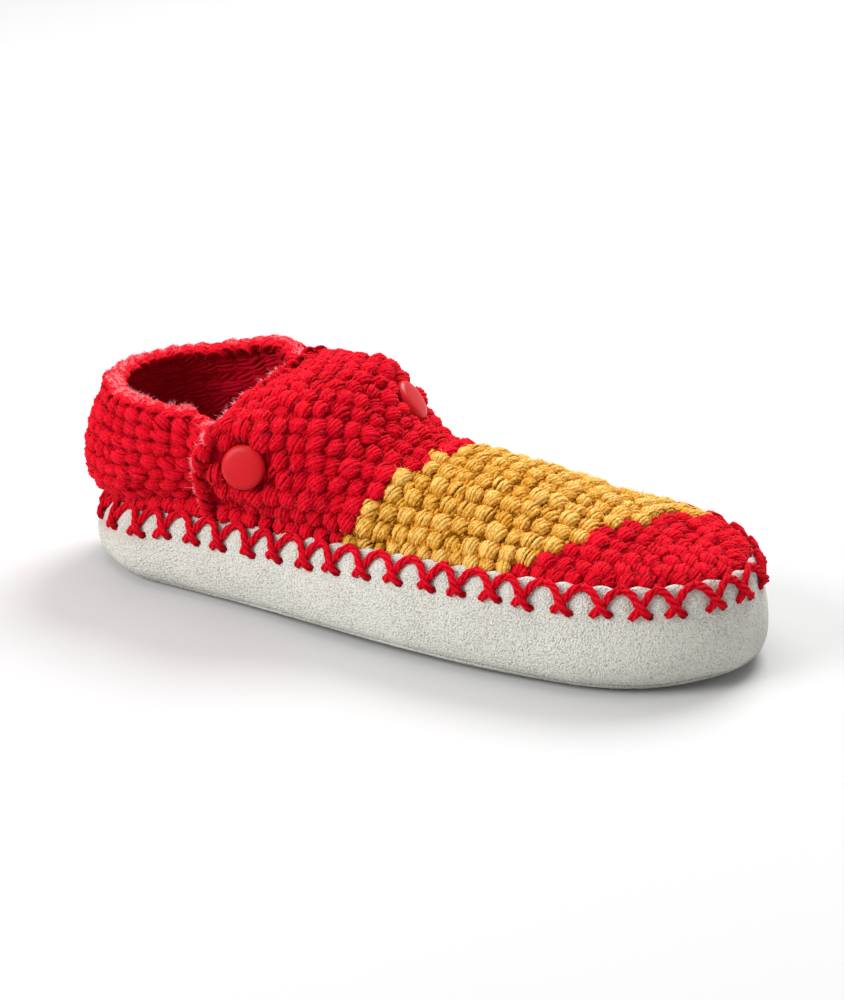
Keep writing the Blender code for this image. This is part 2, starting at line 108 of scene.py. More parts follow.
# %% [markdown]
# The shape of the slipper is a handful of tables, the same that made the solids. PLAN is the outline of
# the sole from above, SECTIONS the arch of the knit at stations along the foot, FLAP_EDGE the back edge
# of the instep flap, QUARTER_RIM the rim of the heel piece and BAND the change of yarn. With the same
# tables here, a stitch can ask for any point of the surface and lie exactly on the solid.
#
# In PLAN, along is a share of the length, lateral and medial are half widths, and the rest are heights: of
# the suede's cut edge, its lower seam and its underside. In SECTIONS, ridge is the height of the arch, belly
# how far it swells past its lower edge, rise how high above the lip it is widest, and square and crown how
# boxy it is. tilt raises one side over the other, and sag lowers the top. A share across runs from -1,
# lateral, to 1, medial.

# %% Tables of the last
LENGTH, HEEL_END, HEEL_ROUND, TOE_ROUND, TOE_SWING = 261.0, -129.0, 37.0, 54.0, 3.0
KNIT_WALL, SUEDE_WALL, OUTSOLE_WALL, INSOLE_WALL = 4.5, 2.0, 3.0, 6.0
GAP, LAYER_GAP, TUCK_DEPTH = 0.3, 0.8, 5.0
BELLY_HEIGHT, FOOT_INSET, LIP_INSET = 13.0, 8.0, 6.0
EDGE_INSET = LIP_INSET + SUEDE_WALL + GAP
RIM_STATION, FLAP_START, QUARTER_FRONT = -57.5, -20.0, -36.0
COLLAR_STAND, STAND_START, STAND_END = 8.0, (-96.0, -82.0), (-66.0, -57.0)
ARCH_SHARE, TUCK_SHARE = 0.72, 0.94

Plan = namedtuple("Plan", "along lateral medial lip seam floor")
PLAN = (
    Plan(0.00, 34.0, 34.0, 25.5, 2.4, 1.2),
    Plan(0.08, 35.0, 34.5, 27.0, 2.2, 0.0),
    Plan(0.18, 36.8, 35.0, 29.5, 2.6, 0.0),
    Plan(0.30, 39.5, 35.8, 31.0, 3.6, 0.0),
    Plan(0.42, 43.5, 37.8, 33.0, 4.6, 1.0),
    Plan(0.56, 47.3, 42.5, 35.5, 4.8, 0.6),
    Plan(0.68, 48.6, 46.2, 36.5, 4.2, 0.0),
    Plan(0.80, 47.0, 47.2, 36.8, 3.4, 0.0),
    Plan(0.90, 44.5, 45.5, 37.0, 3.4, 0.8),
    Plan(1.00, 39.0, 40.5, 37.0, 6.0, 4.0),
)
Section = namedtuple("Section", "at ridge tilt belly rise square crown sag")
SECTIONS = (
    Section(-130.0, 85.0, 0.0, 11.5, 12.0, 2.2, 2.0, 0.0),
    Section(-100.0, 84.5, 1.0, 11.0, 14.0, 2.7, 2.3, 0.0),
    Section(-72.0, 80.5, 3.5, 10.5, 22.0, 4.0, 3.0, 3.5),
    Section(-57.0, 80.5, 3.5, 9.5, 23.0, 3.8, 2.9, 3.5),
    Section(-40.0, 83.0, 3.0, 6.5, 20.0, 3.0, 2.5, 0.5),
    Section(-25.0, 83.5, 4.0, 3.5, 15.0, 2.6, 2.2, 0.0),
    Section(-14.0, 78.5, 5.0, 2.0, 10.0, 2.4, 1.9, 0.0),
    Section(-3.0, 68.5, 2.0, 1.0, 6.0, 2.2, 1.5, 0.0),
    Section(6.0, 63.5, 0.0, 0.5, 4.0, 2.1, 1.25, 0.0),
    Section(26.0, 61.3, 0.0, 0.0, 3.0, 2.0, 1.1, 0.0),
    Section(44.0, 58.3, 0.0, 0.0, 2.5, 2.0, 1.05, 0.0),
    Section(67.0, 52.5, 0.0, 0.0, 2.0, 2.0, 1.05, 0.0),
    Section(85.0, 48.0, 0.0, 0.0, 2.0, 2.0, 1.1, 0.0),
    Section(100.0, 44.8, 0.0, 0.0, 2.0, 2.1, 1.2, 0.0),
    Section(112.0, 42.3, 0.0, 0.0, 2.0, 2.2, 1.4, 0.0),
    Section(124.0, 40.0, 0.0, 0.0, 2.0, 2.2, 1.5, 0.0),
)
FlapEdge = namedtuple("FlapEdge", "across at")
FLAP_EDGE = (
    FlapEdge(-1.00, -69.0),
    FlapEdge(-0.72, -67.0),
    FlapEdge(-0.40, -60.0),
    FlapEdge(0.00, -57.5),
    FlapEdge(0.40, -55.0),
    FlapEdge(0.72, -58.0),
    FlapEdge(1.00, -60.0),
)
Rim = namedtuple("Rim", "at lateral medial lateral_under medial_under")
QUARTER_RIM = (
    Rim(-130.0, 70.0, 70.0, 0.0, 0.0),
    Rim(-100.0, 69.5, 73.0, 0.0, 0.0),
    Rim(-84.0, 69.0, 75.8, 0.35, 0.05),
    Rim(-70.0, 66.5, 78.2, 1.0, 0.4),
    Rim(-62.0, 62.5, 77.0, 1.0, 0.95),
    Rim(-56.0, 60.0, 73.0, 1.0, 1.0),
    Rim(-48.0, 57.0, 68.0, 1.0, 1.0),
    Rim(-36.0, 53.0, 58.0, 1.0, 1.0),
)
Band = namedtuple("Band", "across back front")
BAND = (
    Band(-1.00, -7.0, 60.0),
    Band(-0.50, -1.5, 66.5),
    Band(0.00, 16.0, 87.0),
    Band(0.50, 26.0, 99.0),
    Band(1.00, 30.0, 101.0),
)
Snap = namedtuple("Snap", "name at across dent reach")
SNAPS = (
    Snap("snap_lateral", -46.0, -0.69, 0.8, 9.0),
    Snap("snap_medial", -7.5, 0.21, 3.5, 7.0),
)
print("stations", len(SECTIONS), "plan rows", len(PLAN))

# %% [markdown]
# A smooth curve through a table gives a size anywhere between its rows. Straight lines would leave a
# kink at each row. Where a column turns back, the curve lies level, so that it doesn't swing past that row.

# %% Curves through the tables


def smooth_table(rows, key, column, values):
    """Column of a table as a smooth curve through its rows, read at values of the key column."""
    xs = np.array([getattr(row, key) for row in rows], float)
    ys = np.array([getattr(row, column) for row in rows], float)
    secants = np.diff(ys) / np.diff(xs)
    slopes = np.gradient(ys, xs)
    slopes[1:-1][secants[:-1] * secants[1:] <= 0] = 0.0
    values = np.asarray(values, float)
    i = np.clip(np.searchsorted(xs, values) - 1, 0, len(xs) - 2)
    span = xs[i + 1] - xs[i]
    u = np.clip((values - xs[i]) / span, 0.0, 1.0)
    start = (2 * u**3 - 3 * u**2 + 1) * ys[i] + (u**3 - 2 * u**2 + u) * span * slopes[i]
    end = (3 * u**2 - 2 * u**3) * ys[i + 1] + (u**3 - u**2) * span * slopes[i + 1]
    return start + end


def ramp(low, high, value):
    """0 at low, 1 at high, with a smooth start and end."""
    u = np.clip((np.asarray(value, float) - low) / (high - low), 0.0, 1.0)
    return u * u * (3 - 2 * u)


def along_of(at):
    return (np.asarray(at, float) - HEEL_END) / LENGTH


def plan_column(column, at):
    return smooth_table(PLAN, "along", column, along_of(at))


def section_column(column, at):
    return smooth_table(SECTIONS, "at", column, at)


print("ridge over the middle", float(section_column("ridge", 0.0).round(1)))

# %% [markdown]
# From these curves comes the outline of the sole, seen from above and moved in by any inset. It could be
# drawn as a Bezier curve, but then the stitches couldn't ask it for the point at a given turn.

# %% Outline of the sole
HEEL_POWER, TOE_POWER, SWING_START = 2.0, 2.1, 0.5
BELLY_POWER, LIP_POWER = 3.2, 1.9


def end_round(distance, length, power):
    u = np.clip(distance / length, 0.0, 1.0)
    return (1 - (1 - u) ** power) ** (1 / power)


def swing(along):
    """How far the middle of the sole moves to the inner side towards the toe."""
    return TOE_SWING * ramp(SWING_START, 1.0, along)


def plan_point(turn):
    """Point of the widest outline. turn goes once round: heel 0, lateral side, toe pi, medial side."""
    turn = np.mod(turn, 2 * math.pi)
    along = (1 - np.cos(turn)) / 2
    lateral = smooth_table(PLAN, "along", "lateral", along)
    medial = smooth_table(PLAN, "along", "medial", along)
    width = np.where(turn < math.pi, -lateral, medial)
    width = width * end_round(along * LENGTH, HEEL_ROUND, HEEL_POWER)
    width = width * end_round((1 - along) * LENGTH, TOE_ROUND, TOE_POWER)
    return np.stack([HEEL_END + LENGTH * along, swing(along) + width], -1)


def plan_normal(turn):
    step = 1e-3
    tangent = plan_point(turn + step) - plan_point(turn - step)
    tangent /= np.linalg.norm(tangent, axis=-1, keepdims=True)
    return np.stack([tangent[..., 1], -tangent[..., 0]], -1)


def plan_inset(turn, inset):
    return plan_point(turn) - plan_normal(turn) * np.asarray(inset, float)[..., None]


def side_inset(height, lip):
    """How far the side of the sole lies inside its widest outline: round below, leaning in above."""
    below = FOOT_INSET * np.clip(1 - height / BELLY_HEIGHT, 0, 1) ** BELLY_POWER
    above = LIP_INSET * np.clip((height - BELLY_HEIGHT) / (lip - BELLY_HEIGHT), 0, 1) ** LIP_POWER
    return below + above


print("sole from", plan_point(np.array(0.0)).round(1), "to", plan_point(np.array(math.pi)).round(1))

# %% [markdown]
# The knit front arches over the foot like a tent: from the suede's lip it swells out, goes over the ridge
# and comes down on the other side. A sculpted mesh could have this shape too, but one function of a
# station along the foot and a share across it gives the surface at any depth, for wall and stitches alike.

# %% Arch of the knit front
LIP_OVER, BELLY_FADE, OUTLINE_POINTS = 0.5, 12.0, 721


def toe_centre(at):
    return swing(along_of(at))


@lru_cache(maxsize=None)
def edge_outline(depth):
    """Knit's bottom edge behind the suede lip: stations and half widths on each side."""
    turns = np.linspace(0, math.pi, OUTLINE_POINTS)
    sides = {}
    for side, turn in ((-1, turns), (1, 2 * math.pi - turns)):
        points = plan_inset(turn, EDGE_INSET + depth)
        width = np.abs(points[:, 1] - toe_centre(points[:, 0]))
        width[-1] = 0.0
        sides[side] = (points[:, 0], width)
    return sides


def knit_edge(at, side, depth):
    stations, widths = edge_outline(depth)[side]
    return np.interp(at, stations, widths)


def knit_tip(depth):
    return float(edge_outline(depth)[-1][0][-1])


def body_point(at, across, depth=0.0):
    """Point of the knit body, depth inside its outer face; across runs from -1 lateral to 1 medial."""
    at, across = np.broadcast_arrays(np.asarray(at, float), np.asarray(across, float))
    side = np.where(across < 0, -1.0, 1.0)
    share = np.abs(across)
    edge = np.where(side < 0, knit_edge(at, -1, depth), knit_edge(at, 1, depth))
    belly = edge + section_column("belly", at) * ramp(0.0, BELLY_FADE, edge)
    lip = plan_column("lip", at) + LIP_OVER
    low = lip - LIP_OVER - TUCK_DEPTH
    middle = lip + section_column("rise", at)
    top = np.maximum(section_column("ridge", at) - depth, middle)
    angle = np.clip(share / ARCH_SHARE, 0, 1) * math.pi / 2
    arch_y = belly * np.sin(angle) ** (2 / section_column("square", at))
    arch_z = middle + (top - middle) * np.cos(angle) ** (2 / section_column("crown", at))
    arch_z = arch_z - section_column("sag", at) * np.cos(angle) ** 2
    arch_z = arch_z + section_column("tilt", at) * side * np.sin(2 * angle)
    down = np.clip((share - ARCH_SHARE) / (TUCK_SHARE - ARCH_SHARE), 0, 1)
    side_y = edge + (belly - edge) * np.cos(down * math.pi / 2)
    side_z = middle + (lip - middle) * down
    tuck = np.clip((share - TUCK_SHARE) / (1 - TUCK_SHARE), 0, 1)
    y = np.where(share <= ARCH_SHARE, arch_y, side_y)
    z = np.where(share <= ARCH_SHARE, arch_z, side_z + (low - lip) * tuck)
    return np.stack([at, toe_centre(at) + side * y, z], -1)


print("toe of the knit at", round(knit_tip(0.0), 1))

# %% [markdown]
# Each snap pulls the layers of knit together into a flat seat, and the rows near the back of the front
# follow the edge of the flap. Both only move points of the arch, so they are steps after it.

# %% Seats of the snaps and edge of the flap
SEAT_RADIUS, SEAT_SLAB = 10.5, (14.0, 24.0)
STATION_STEP, ACROSS_STEP = 0.5, 0.02


def unit(vectors):
    return vectors / np.maximum(np.linalg.norm(vectors, axis=-1, keepdims=True), 1e-9)


@lru_cache(maxsize=None)
def snap_frame(snap):
    """Seat of a snap cap on the undented face, and the face's outward normal there."""
    seat = body_point(snap.at, snap.across)
    ahead, behind = [body_point(snap.at + step, snap.across) for step in (STATION_STEP, -STATION_STEP)]
    inner, outer = [body_point(snap.at, snap.across + step) for step in (ACROSS_STEP, -ACROSS_STEP)]
    return seat, unit(np.cross(ahead - behind, inner - outer))


def from_snap(points, snap):
    """Height of points over a snap's seat, and their distance from its axis."""
    seat, normal = snap_frame(snap)
    away = points - seat
    height = away @ normal
    return height, np.linalg.norm(away - height[..., None] * normal, axis=-1)


def dimpled(points, depth):
    """Pulls a layer of knit, depth inside the outer face, into a flat seat under each snap."""
    for snap in SNAPS:
        height, radius = from_snap(points, snap)
        pull = 1 - ramp(SEAT_RADIUS, SEAT_RADIUS + snap.reach, radius)
        pull = pull * (1 - ramp(*SEAT_SLAB, np.abs(height + depth)))
        points = points - snap_frame(snap)[1] * (pull * (height + snap.dent + depth))[..., None]
    return points


def front_station(row, across):
    """Station of a row of the front: rows near the back follow the flap's edge."""
    edge = smooth_table(FLAP_EDGE, "across", "at", across) - RIM_STATION
    return row + edge * (1 - ramp(RIM_STATION, FLAP_START, row))


def front_point(row, across, depth=0.0):
    return dimpled(body_point(front_station(row, across), across, depth), depth)


print("snap seats", [snap_frame(snap)[0].round(1).tolist() for snap in SNAPS])

# %% [markdown]
# The heel quarter is a band of knit that stands round the heel, with both ends tucked under the flap. It
# follows the sole's outline, so its surface is a function of the turn round the sole and of the share of
# the way up to the rim. Where it lies under the flap it moves in by one thickness of knit.

# %% Wall of the heel quarter
REACH_FROM, STEEPEST = -92.0, 0.999


def is_lateral(turn):
    return np.mod(turn, 2 * math.pi) < math.pi


def quarter_rim(turn):
    """Height of the rim at a turn, and how deep the wall there lies under the flap."""
    at = plan_point(turn)[..., 0]
    columns = []
    for column in ("", "_under"):
        outer = smooth_table(QUARTER_RIM, "at", "lateral" + column, at)
        inner = smooth_table(QUARTER_RIM, "at", "medial" + column, at)
        columns.append(np.where(is_lateral(turn), outer, inner))
    return columns[0], columns[1] * (KNIT_WALL + LAYER_GAP)


def quarter_point(turn, share, depth=0.0):
    """Point of the heel quarter: share runs from the suede's lip 0 to the rim 1."""
    turn, share = np.broadcast_arrays(np.asarray(turn, float), np.asarray(share, float))
    at = plan_point(turn)[..., 0]
    lateral = is_lateral(turn)
    rim, under = quarter_rim(turn)
    inset = EDGE_INSET + under + depth
    lip = plan_column("lip", at) + LIP_OVER
    middle = lip + section_column("rise", at)
    belly = section_column("belly", at)
    reach = knit_edge(np.maximum(at, REACH_FROM), -1, 0.0) + belly - under
    lean_side = np.where(lateral, -1.0, 1.0)
    top = section_column("ridge", at) + lean_side * section_column("tilt", at) - under
    stands = ramp(*STAND_START, at) * (1 - ramp(*STAND_END, at))
    top = top + np.where(lateral, 0.0, COLLAR_STAND * stands)
    height = lip + (rim - lip) * share
    up = np.clip((height - middle) / (top - middle), 0, STEEPEST)
    lean = 1 - (1 - up ** section_column("crown", at)) ** (1 / section_column("square", at))
    down = np.clip((middle - height) / (middle - lip), 0, 1)
    out = belly * np.cos(down * math.pi / 2) - reach * lean
    flat = plan_inset(turn, inset) + plan_normal(turn) * out[..., None]
    points = np.concatenate([flat, height[..., None]], -1)
    return dimpled(points, KNIT_WALL + LAYER_GAP + depth)


QUARTER_TURN = math.acos(1 - 2 * float(along_of(QUARTER_FRONT)))
print("heel rim at", quarter_point(0.0, 1.0).round(1))

# %% [markdown]
# Materials are sums and products of small patterns, so a wrapped socket that understands Python's own
# signs keeps them readable: 1 - mask makes a Math node, and one method adds any other kind of node. A
# method for each kind would read no better, and there would be dozens of them.

# %% Shader arithmetic


class Wire:
    """A node's socket that Python's operators can work with."""

    def __init__(self, tree, socket=None):
        self.tree = tree
        self.socket = socket

    def node(self, kind, settings=(), sockets=(), output=0):
        """Adds a node: its settings first, then the values or links of its sockets."""
        made = self.tree.nodes.new("ShaderNode" + kind)
        for key, value in dict(settings).items():
            if key == "stops":
                for stop, (place, colour) in zip(ramp_stops(made, len(value)), value):
                    stop.position = place
                    stop.color = colour
            else:
                setattr(made, key, value)
        for key, value in dict(sockets).items():
            if isinstance(value, Wire):
                self.tree.links.new(value.socket, made.inputs[key])
            else:
                made.inputs[key].default_value = value
        return Wire(self.tree, made.outputs[output])

    def math(self, operation, *values):
        return self.node("Math", {"operation": operation}, enumerate(values))

    def mix(self, first, second):
        """Mixes two colours, with this value as the factor; 6, 7 and 2 are the colours' own sockets."""
        return self.node("Mix", {"data_type": "RGBA"}, {0: self, 6: first, 7: second}, output=2)

    def __add__(self, other):
        return self.math("ADD", self, other)

    def __sub__(self, other):
        return self.math("SUBTRACT", self, other)

    def __rsub__(self, other):
        return self.math("SUBTRACT", other, self)

    def __mul__(self, other):
        return self.math("MULTIPLY", self, other)

    __radd__ = __add__
    __rmul__ = __mul__


def ramp_stops(node, count):
    stops = node.color_ramp.elements
    while len(stops) < count:
        stops.new(0.5)
    return stops


print("operators ready", [name for name in vars(Wire) if name.startswith("__r")])

# %% [markdown]
# Noise, a value stored on the mesh, the place on the object and relief turn up in nearly every finish, so
# they have short names. Values that are the same all over a piece need no nodes: they sit on the sockets
# of the shader itself.

# %% Patterns that finishes share


def noise(place, scale, detail=2.0, **sockets):
    return place.node("TexNoise", {}, {"Vector": place, "Scale": scale, "Detail": detail, **sockets})


def stored(wire, name, output="Fac"):
    """A number that the mesh stores on its corners, or with the output Vector a vector."""
    return wire.node("Attribute", {"attribute_name": name}, output=output)


def relief(height, strength, distance):
    """Bumps of a height pattern, distance in millimetres."""
    return height.node("Bump", {}, {"Height": height, "Strength": strength, "Distance": distance * MM})


def start_finish(name, **constants):
    """A new material: the values that are the same all over sit on the shader's own sockets."""
    made = bpy.data.materials.new(name)
    made.use_nodes = True
    shader = made.node_tree.nodes["Principled BSDF"]
    for socket, value in constants.items():
        shader.inputs[socket.replace("_", " ")].default_value = value
    return made, Wire(made.node_tree)


def object_place(wire):
    return wire.node("TexCoord", output="Object")


def end_finish(made, **links):
    shader = made.node_tree.nodes["Principled BSDF"]
    for socket, wire in links.items():
        made.node_tree.links.new(wire.socket, shader.inputs[socket.replace("_", " ")])
    return made


print("patterns", noise.__name__, stored.__name__, object_place.__name__, relief.__name__)

# %% [markdown]
# Yarn is dyed right through, but its surface isn't one colour: the crown of a stitch is painted pale as a
# highlight, its roots and the sides of its plies are painted dark as shade, and each ply takes the dye a
# little differently. Three values are stored on the mesh: crown, the height over the wall that sets the
# painted highlight and shade, tone, one number a ply, and fibre, a place on the ply measured round it and
# along it. Noise drawn out along the fibre makes the spun streaks.

# %% Yarn finishes
STREAK_SCALE, CLUMP_SCALE = (1.9, 0.45, 1.0), 950.0
RED_SHEEN, MUSTARD_SHEEN = (1.0, 0.45, 0.42, 1), (1.0, 0.85, 0.5, 1)
DyeAndPaintedLight = namedtuple("DyeAndPaintedLight", "root body crown sheen")
# Each yarn's root is its colour in painted shade, body its own colour, crown its colour under a painted
# highlight, and sheen the tint of the shader's sheen.
DYES_AND_PAINTED_LIGHT = {
    "red_yarn": DyeAndPaintedLight((0.12, 0.0, 0.002), (0.62, 0.0, 0.010), (0.86, 0.006, 0.026), RED_SHEEN),
    # A lighter copy of the red yarn, with much paler roots, paints the light that catches the bound edges.
    "edge_yarn": DyeAndPaintedLight((0.42, 0.0, 0.008), (0.68, 0.001, 0.014), (0.90, 0.016, 0.036), RED_SHEEN),
    # A copy of the red yarn for inside the collar: its darker body and crown paint the shade there, and its
    # paler roots paint light into the crevices between the stitches.
    "lining_yarn": DyeAndPaintedLight((0.42, 0.0, 0.012), (0.52, 0.001, 0.016), (0.60, 0.004, 0.022), RED_SHEEN),
    "mustard_yarn": DyeAndPaintedLight((0.17, 0.045, 0.002), (0.72, 0.31, 0.020), (0.92, 0.62, 0.18), MUSTARD_SHEEN),
}


def yarn_finish(name, dye_and_light):
    made, wire = start_finish(
        name, Roughness=0.8, Sheen_Weight=0.06, Sheen_Roughness=0.3, Sheen_Tint=dye_and_light.sheen,
        Specular_IOR_Level=0.06,
    )
    drawn = wire.node("Mapping", {}, {"Vector": stored(wire, "fibre", "Vector"), "Scale": STREAK_SCALE})
    streak = noise(drawn, 1.0, 3.0, Roughness=0.7)
    clump = noise(object_place(wire), CLUMP_SCALE)
    # The crown value paints the highlight on a stitch's top and the shade at its roots; streak, clump and
    # tone are the yarn's own variation.
    shade = stored(wire, "crown") * 0.95 + streak * 0.9 + clump * 1.1 + stored(wire, "tone") * 0.15 - 0.98
    stops = [(0.0, (*dye_and_light.root, 1)), (0.5, (*dye_and_light.body, 1)), (1.0, (*dye_and_light.crown, 1))]
    colour = wire.node("ValToRGB", {"stops": stops}, {"Fac": shade})
    return end_finish(made, Base_Color=colour, Normal=relief(streak + clump, 0.9, 0.7))


red_yarn, edge_yarn, lining_yarn, mustard_yarn = [yarn_finish(name, dye_and_light) for name, dye_and_light in DYES_AND_PAINTED_LIGHT.items()]
print("finishes", list(DYES_AND_PAINTED_LIGHT))

# %% [markdown]
# Fuzz is single fibres that stand off the yarn. They are so thin that light passes through them, so they
# look paler than the yarn they come from. A little glow in the fibre's own colour stands for that light,
# and costs less than a see-through material.

# %% Fuzz finishes
Fibre = namedtuple("Fibre", "dark pale glow")
FIBRES = {
    "red_fuzz": Fibre((0.78, 0.010, 0.030), (0.95, 0.14, 0.17), 0.15),
    "mustard_fuzz": Fibre((0.66, 0.28, 0.02), (0.92, 0.62, 0.20), 0.12),
    # The third fibre is paler and glows more than the red one: painted rim light from behind, on the fibres
    # of the bound edges.
    "pale_fuzz": Fibre((0.90, 0.14, 0.18), (0.98, 0.46, 0.48), 0.35),
}


def fuzz_finish(name, fibre):
    pale = (*fibre.pale, 1)
    made, wire = start_finish(
        name, Roughness=0.9, Specular_IOR_Level=0.02, Emission_Color=pale, Emission_Strength=fibre.glow
    )
    return end_finish(made, Base_Color=stored(wire, "tone").mix((*fibre.dark, 1), pale))


red_fuzz, mustard_fuzz, pale_fuzz = [fuzz_finish(name, fibre) for name, fibre in FIBRES.items()]
print("finishes", list(FIBRES))

# %% [markdown]
# Every piece goes through one door: it gets its material, smooth shading and the body that it rides on,
# and where it stands for a solid, that solid is hidden. Its points are put in their place in the packed
# row as its mesh is made. Doubles are merged before the normals are worked out, so that they all point out.

# %% Handing in a piece
WELD = 0.03


def to_row(points):
    return (np.asarray(points) + ROW_SHIFT) * MM


def hand_in(name, mesh, finish, slot, nodes=()):
    made = bpy.data.objects.new(name, mesh)
    bpy.context.scene.collection.objects.link(made)
    mesh.materials.append(finish)
    mesh.shade_smooth()
    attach(made, "root")
    for node in nodes:
        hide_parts(node)
    print(name, len(mesh.polygons), "faces")
    return made


def shape_mesh(name, shape):
    """Mesh of a bmesh: doubles merged, faces pointing out."""
    bmesh.ops.remove_doubles(shape, verts=shape.verts, dist=WELD * MM)
    bmesh.ops.recalc_face_normals(shape, faces=shape.faces)
    mesh = bpy.data.meshes.new(name)
    shape.to_mesh(mesh)
    shape.free()
    return mesh


print("the drawing's middle stands at", to_row(np.zeros(3)).tolist())

# %% [markdown]
# The knit is a wall with stitches on it. The wall is a grid bent over the last's surface: a grid
# operator gives the faces, the tables give the places. A second grid, deeper in, is joined to the first
# along the border, so the wall has two sides and a rim. It lies deeper than the solid's outer face,
# because the stitches stand on it.

# %% A wall between two depths
WALL_TOP = 1.7
WALL_FOOT, WALL_SPAN = -0.12, 1.08


def bent_grid(shape, rows, columns, place):
    """Adds a grid whose corners go where place(u, v) says, u and v from 0 to 1."""
    made = bmesh.ops.create_grid(shape, x_segments=rows, y_segments=columns, size=1.0)["verts"]
    flat = np.array([vert.co for vert in made])
    spots = to_row(place((flat[:, 0] + 1) / 2, (flat[:, 1] + 1) / 2))
    for vert, spot in zip(made, spots):
        vert.co = spot


def wall_shape(rows, columns, place, outer, inner):
    """Closed wall between two depths of a surface place(u, v, depth)."""
    shape = bmesh.new()
    for depth in (outer, inner):
        bent_grid(shape, rows, columns, lambda u, v: place(u, v, depth))
    bmesh.ops.remove_doubles(shape, verts=shape.verts, dist=WELD * MM)
    border = [edge for edge in shape.edges if edge.is_boundary]
    bmesh.ops.bridge_loops(shape, edges=border)
    return shape


def front_place(u, v, depth):
    row = RIM_STATION + (knit_tip(depth) - RIM_STATION) * u
    return front_point(row, 2 * v - 1, depth)


def quarter_place(u, v, depth):
    return quarter_point(QUARTER_TURN * (2 * u - 1), WALL_SPAN * v + WALL_FOOT, depth)


print("first corner of the wall", front_place(np.zeros(1), np.zeros(1), 0.0).round(1))

# %% [markdown]
# Wall colours only show in the gaps between stitches, so they are painted as the yarn in shade: dark red,
# and dark mustard where the band runs, darker still in the hollows between loop cells. The band is a value
# on the corners; the front gets it once its stitches are placed, so that each patch of wall has the colour
# of the nearest stitch. The heel's wall is also seen from inside the collar, where little light comes, so
# it is painted lighter, with more of the yarn's colour, to make up for that light.

# %% Wall finish
FRONT_GRID, HEEL_GRID = (90, 60), (80, 24)
LINING_ROOM = 0.5
# Painted shade of the mustard yarn, in the wall's hollows and on the rest of it.
MUSTARD_HOLLOW, MUSTARD_WALL = (0.08, 0.022, 0.001, 1), (0.28, 0.10, 0.005, 1)


def wall_finish(name, hollow_red, red):
    made, wire = start_finish(name, Roughness=0.95, Specular_IOR_Level=0.02)
    band, place = stored(wire, "band"), object_place(wire)
    loop = wire.node("TexVoronoi", {}, {"Vector": place, "Scale": 330.0, "Randomness": 0.8})
    shade = 1.2 - loop * 0.9 - noise(place, 1500.0) * 0.5
    colour = shade.mix(band.mix((*hollow_red, 1), MUSTARD_HOLLOW), band.mix((*red, 1), MUSTARD_WALL))
    return end_finish(made, Base_Color=colour, Normal=relief(shade, 1.0, 1.5))


def mark(mesh, name, values, kind="FLOAT"):
    """Stores a value, or a vector, on each corner of a mesh."""
    field = {"FLOAT": "value", "FLOAT_VECTOR": "vector"}[kind]
    made = mesh.attributes.new(name, kind, "POINT")
    made.data.foreach_set(field, np.asarray(values, np.float32).ravel())


# Both walls are painted shade; the heel's is painted lighter, for the inside of the collar.
knit_wall = wall_finish("knit_wall", (0.22, 0.0, 0.005), (0.42, 0.001, 0.010))
lined_wall = wall_finish("lined_wall", (0.34, 0.0, 0.009), (0.50, 0.001, 0.013))
front_mesh = shape_mesh("front_wall", wall_shape(*FRONT_GRID, front_place, WALL_TOP, KNIT_WALL))
hand_in("front_wall", front_mesh, knit_wall, "knit_red", ["upper_front"])
heel_shape = wall_shape(*HEEL_GRID, quarter_place, WALL_TOP, KNIT_WALL - LINING_ROOM)
heel_mesh = shape_mesh("heel_wall", heel_shape)
mark(heel_mesh, "band", np.zeros(len(heel_mesh.vertices)))
hand_in("heel_wall", heel_mesh, lined_wall, "knit_red", ["upper_heel_quarter"])

# %% [markdown]
# One ply of yarn is a short tube. It is made once by extruding a ring of edges, and then bent along many
# centre lines at the same time: a corner of the tube knows its ring and its place round the ring, and
# that is enough to set it anywhere. Hundreds of plies end up in one mesh.

# %% One tube, bent many times
PLY_SIDES, PLY_RINGS, PLY_TWIST = 5, 7, 0.6


@lru_cache(maxsize=None)
def tube_template(rings, sides):
    """Corners of a capped tube, ring n at the height n, and its faces."""
    shape = bmesh.new()
    bmesh.ops.create_circle(shape, cap_ends=True, segments=sides, radius=1.0)
    rim = shape.edges[:]
    for _ in range(rings - 1):
        made = bmesh.ops.extrude_edge_only(shape, edges=rim)["geom"]
        fresh = {g for g in made if isinstance(g, bmesh.types.BMVert)}
        bmesh.ops.translate(shape, vec=(0, 0, 1), verts=list(fresh))
        rim = [edge for edge in shape.edges if fresh.issuperset(edge.verts)]
    bmesh.ops.contextual_create(shape, geom=rim)
    bmesh.ops.recalc_face_normals(shape, faces=shape.faces)
    shape.verts.index_update()
    corners = np.array([vert.co for vert in shape.verts])
    faces = [[vert.index for vert in face.verts] for face in shape.faces]
    shape.free()
    return corners, faces


def ring_numbers(rings, sides):
    return tube_template(rings, sides)[0][:, 2].round().astype(int)


def travelled(points):
    """Length along lines of points, counted from their first point."""
    steps = np.linalg.norm(np.diff(points, axis=-2), axis=-1)
    return np.concatenate([np.zeros(steps.shape[:-1] + (1,)), np.cumsum(steps, axis=-1)], axis=-1)


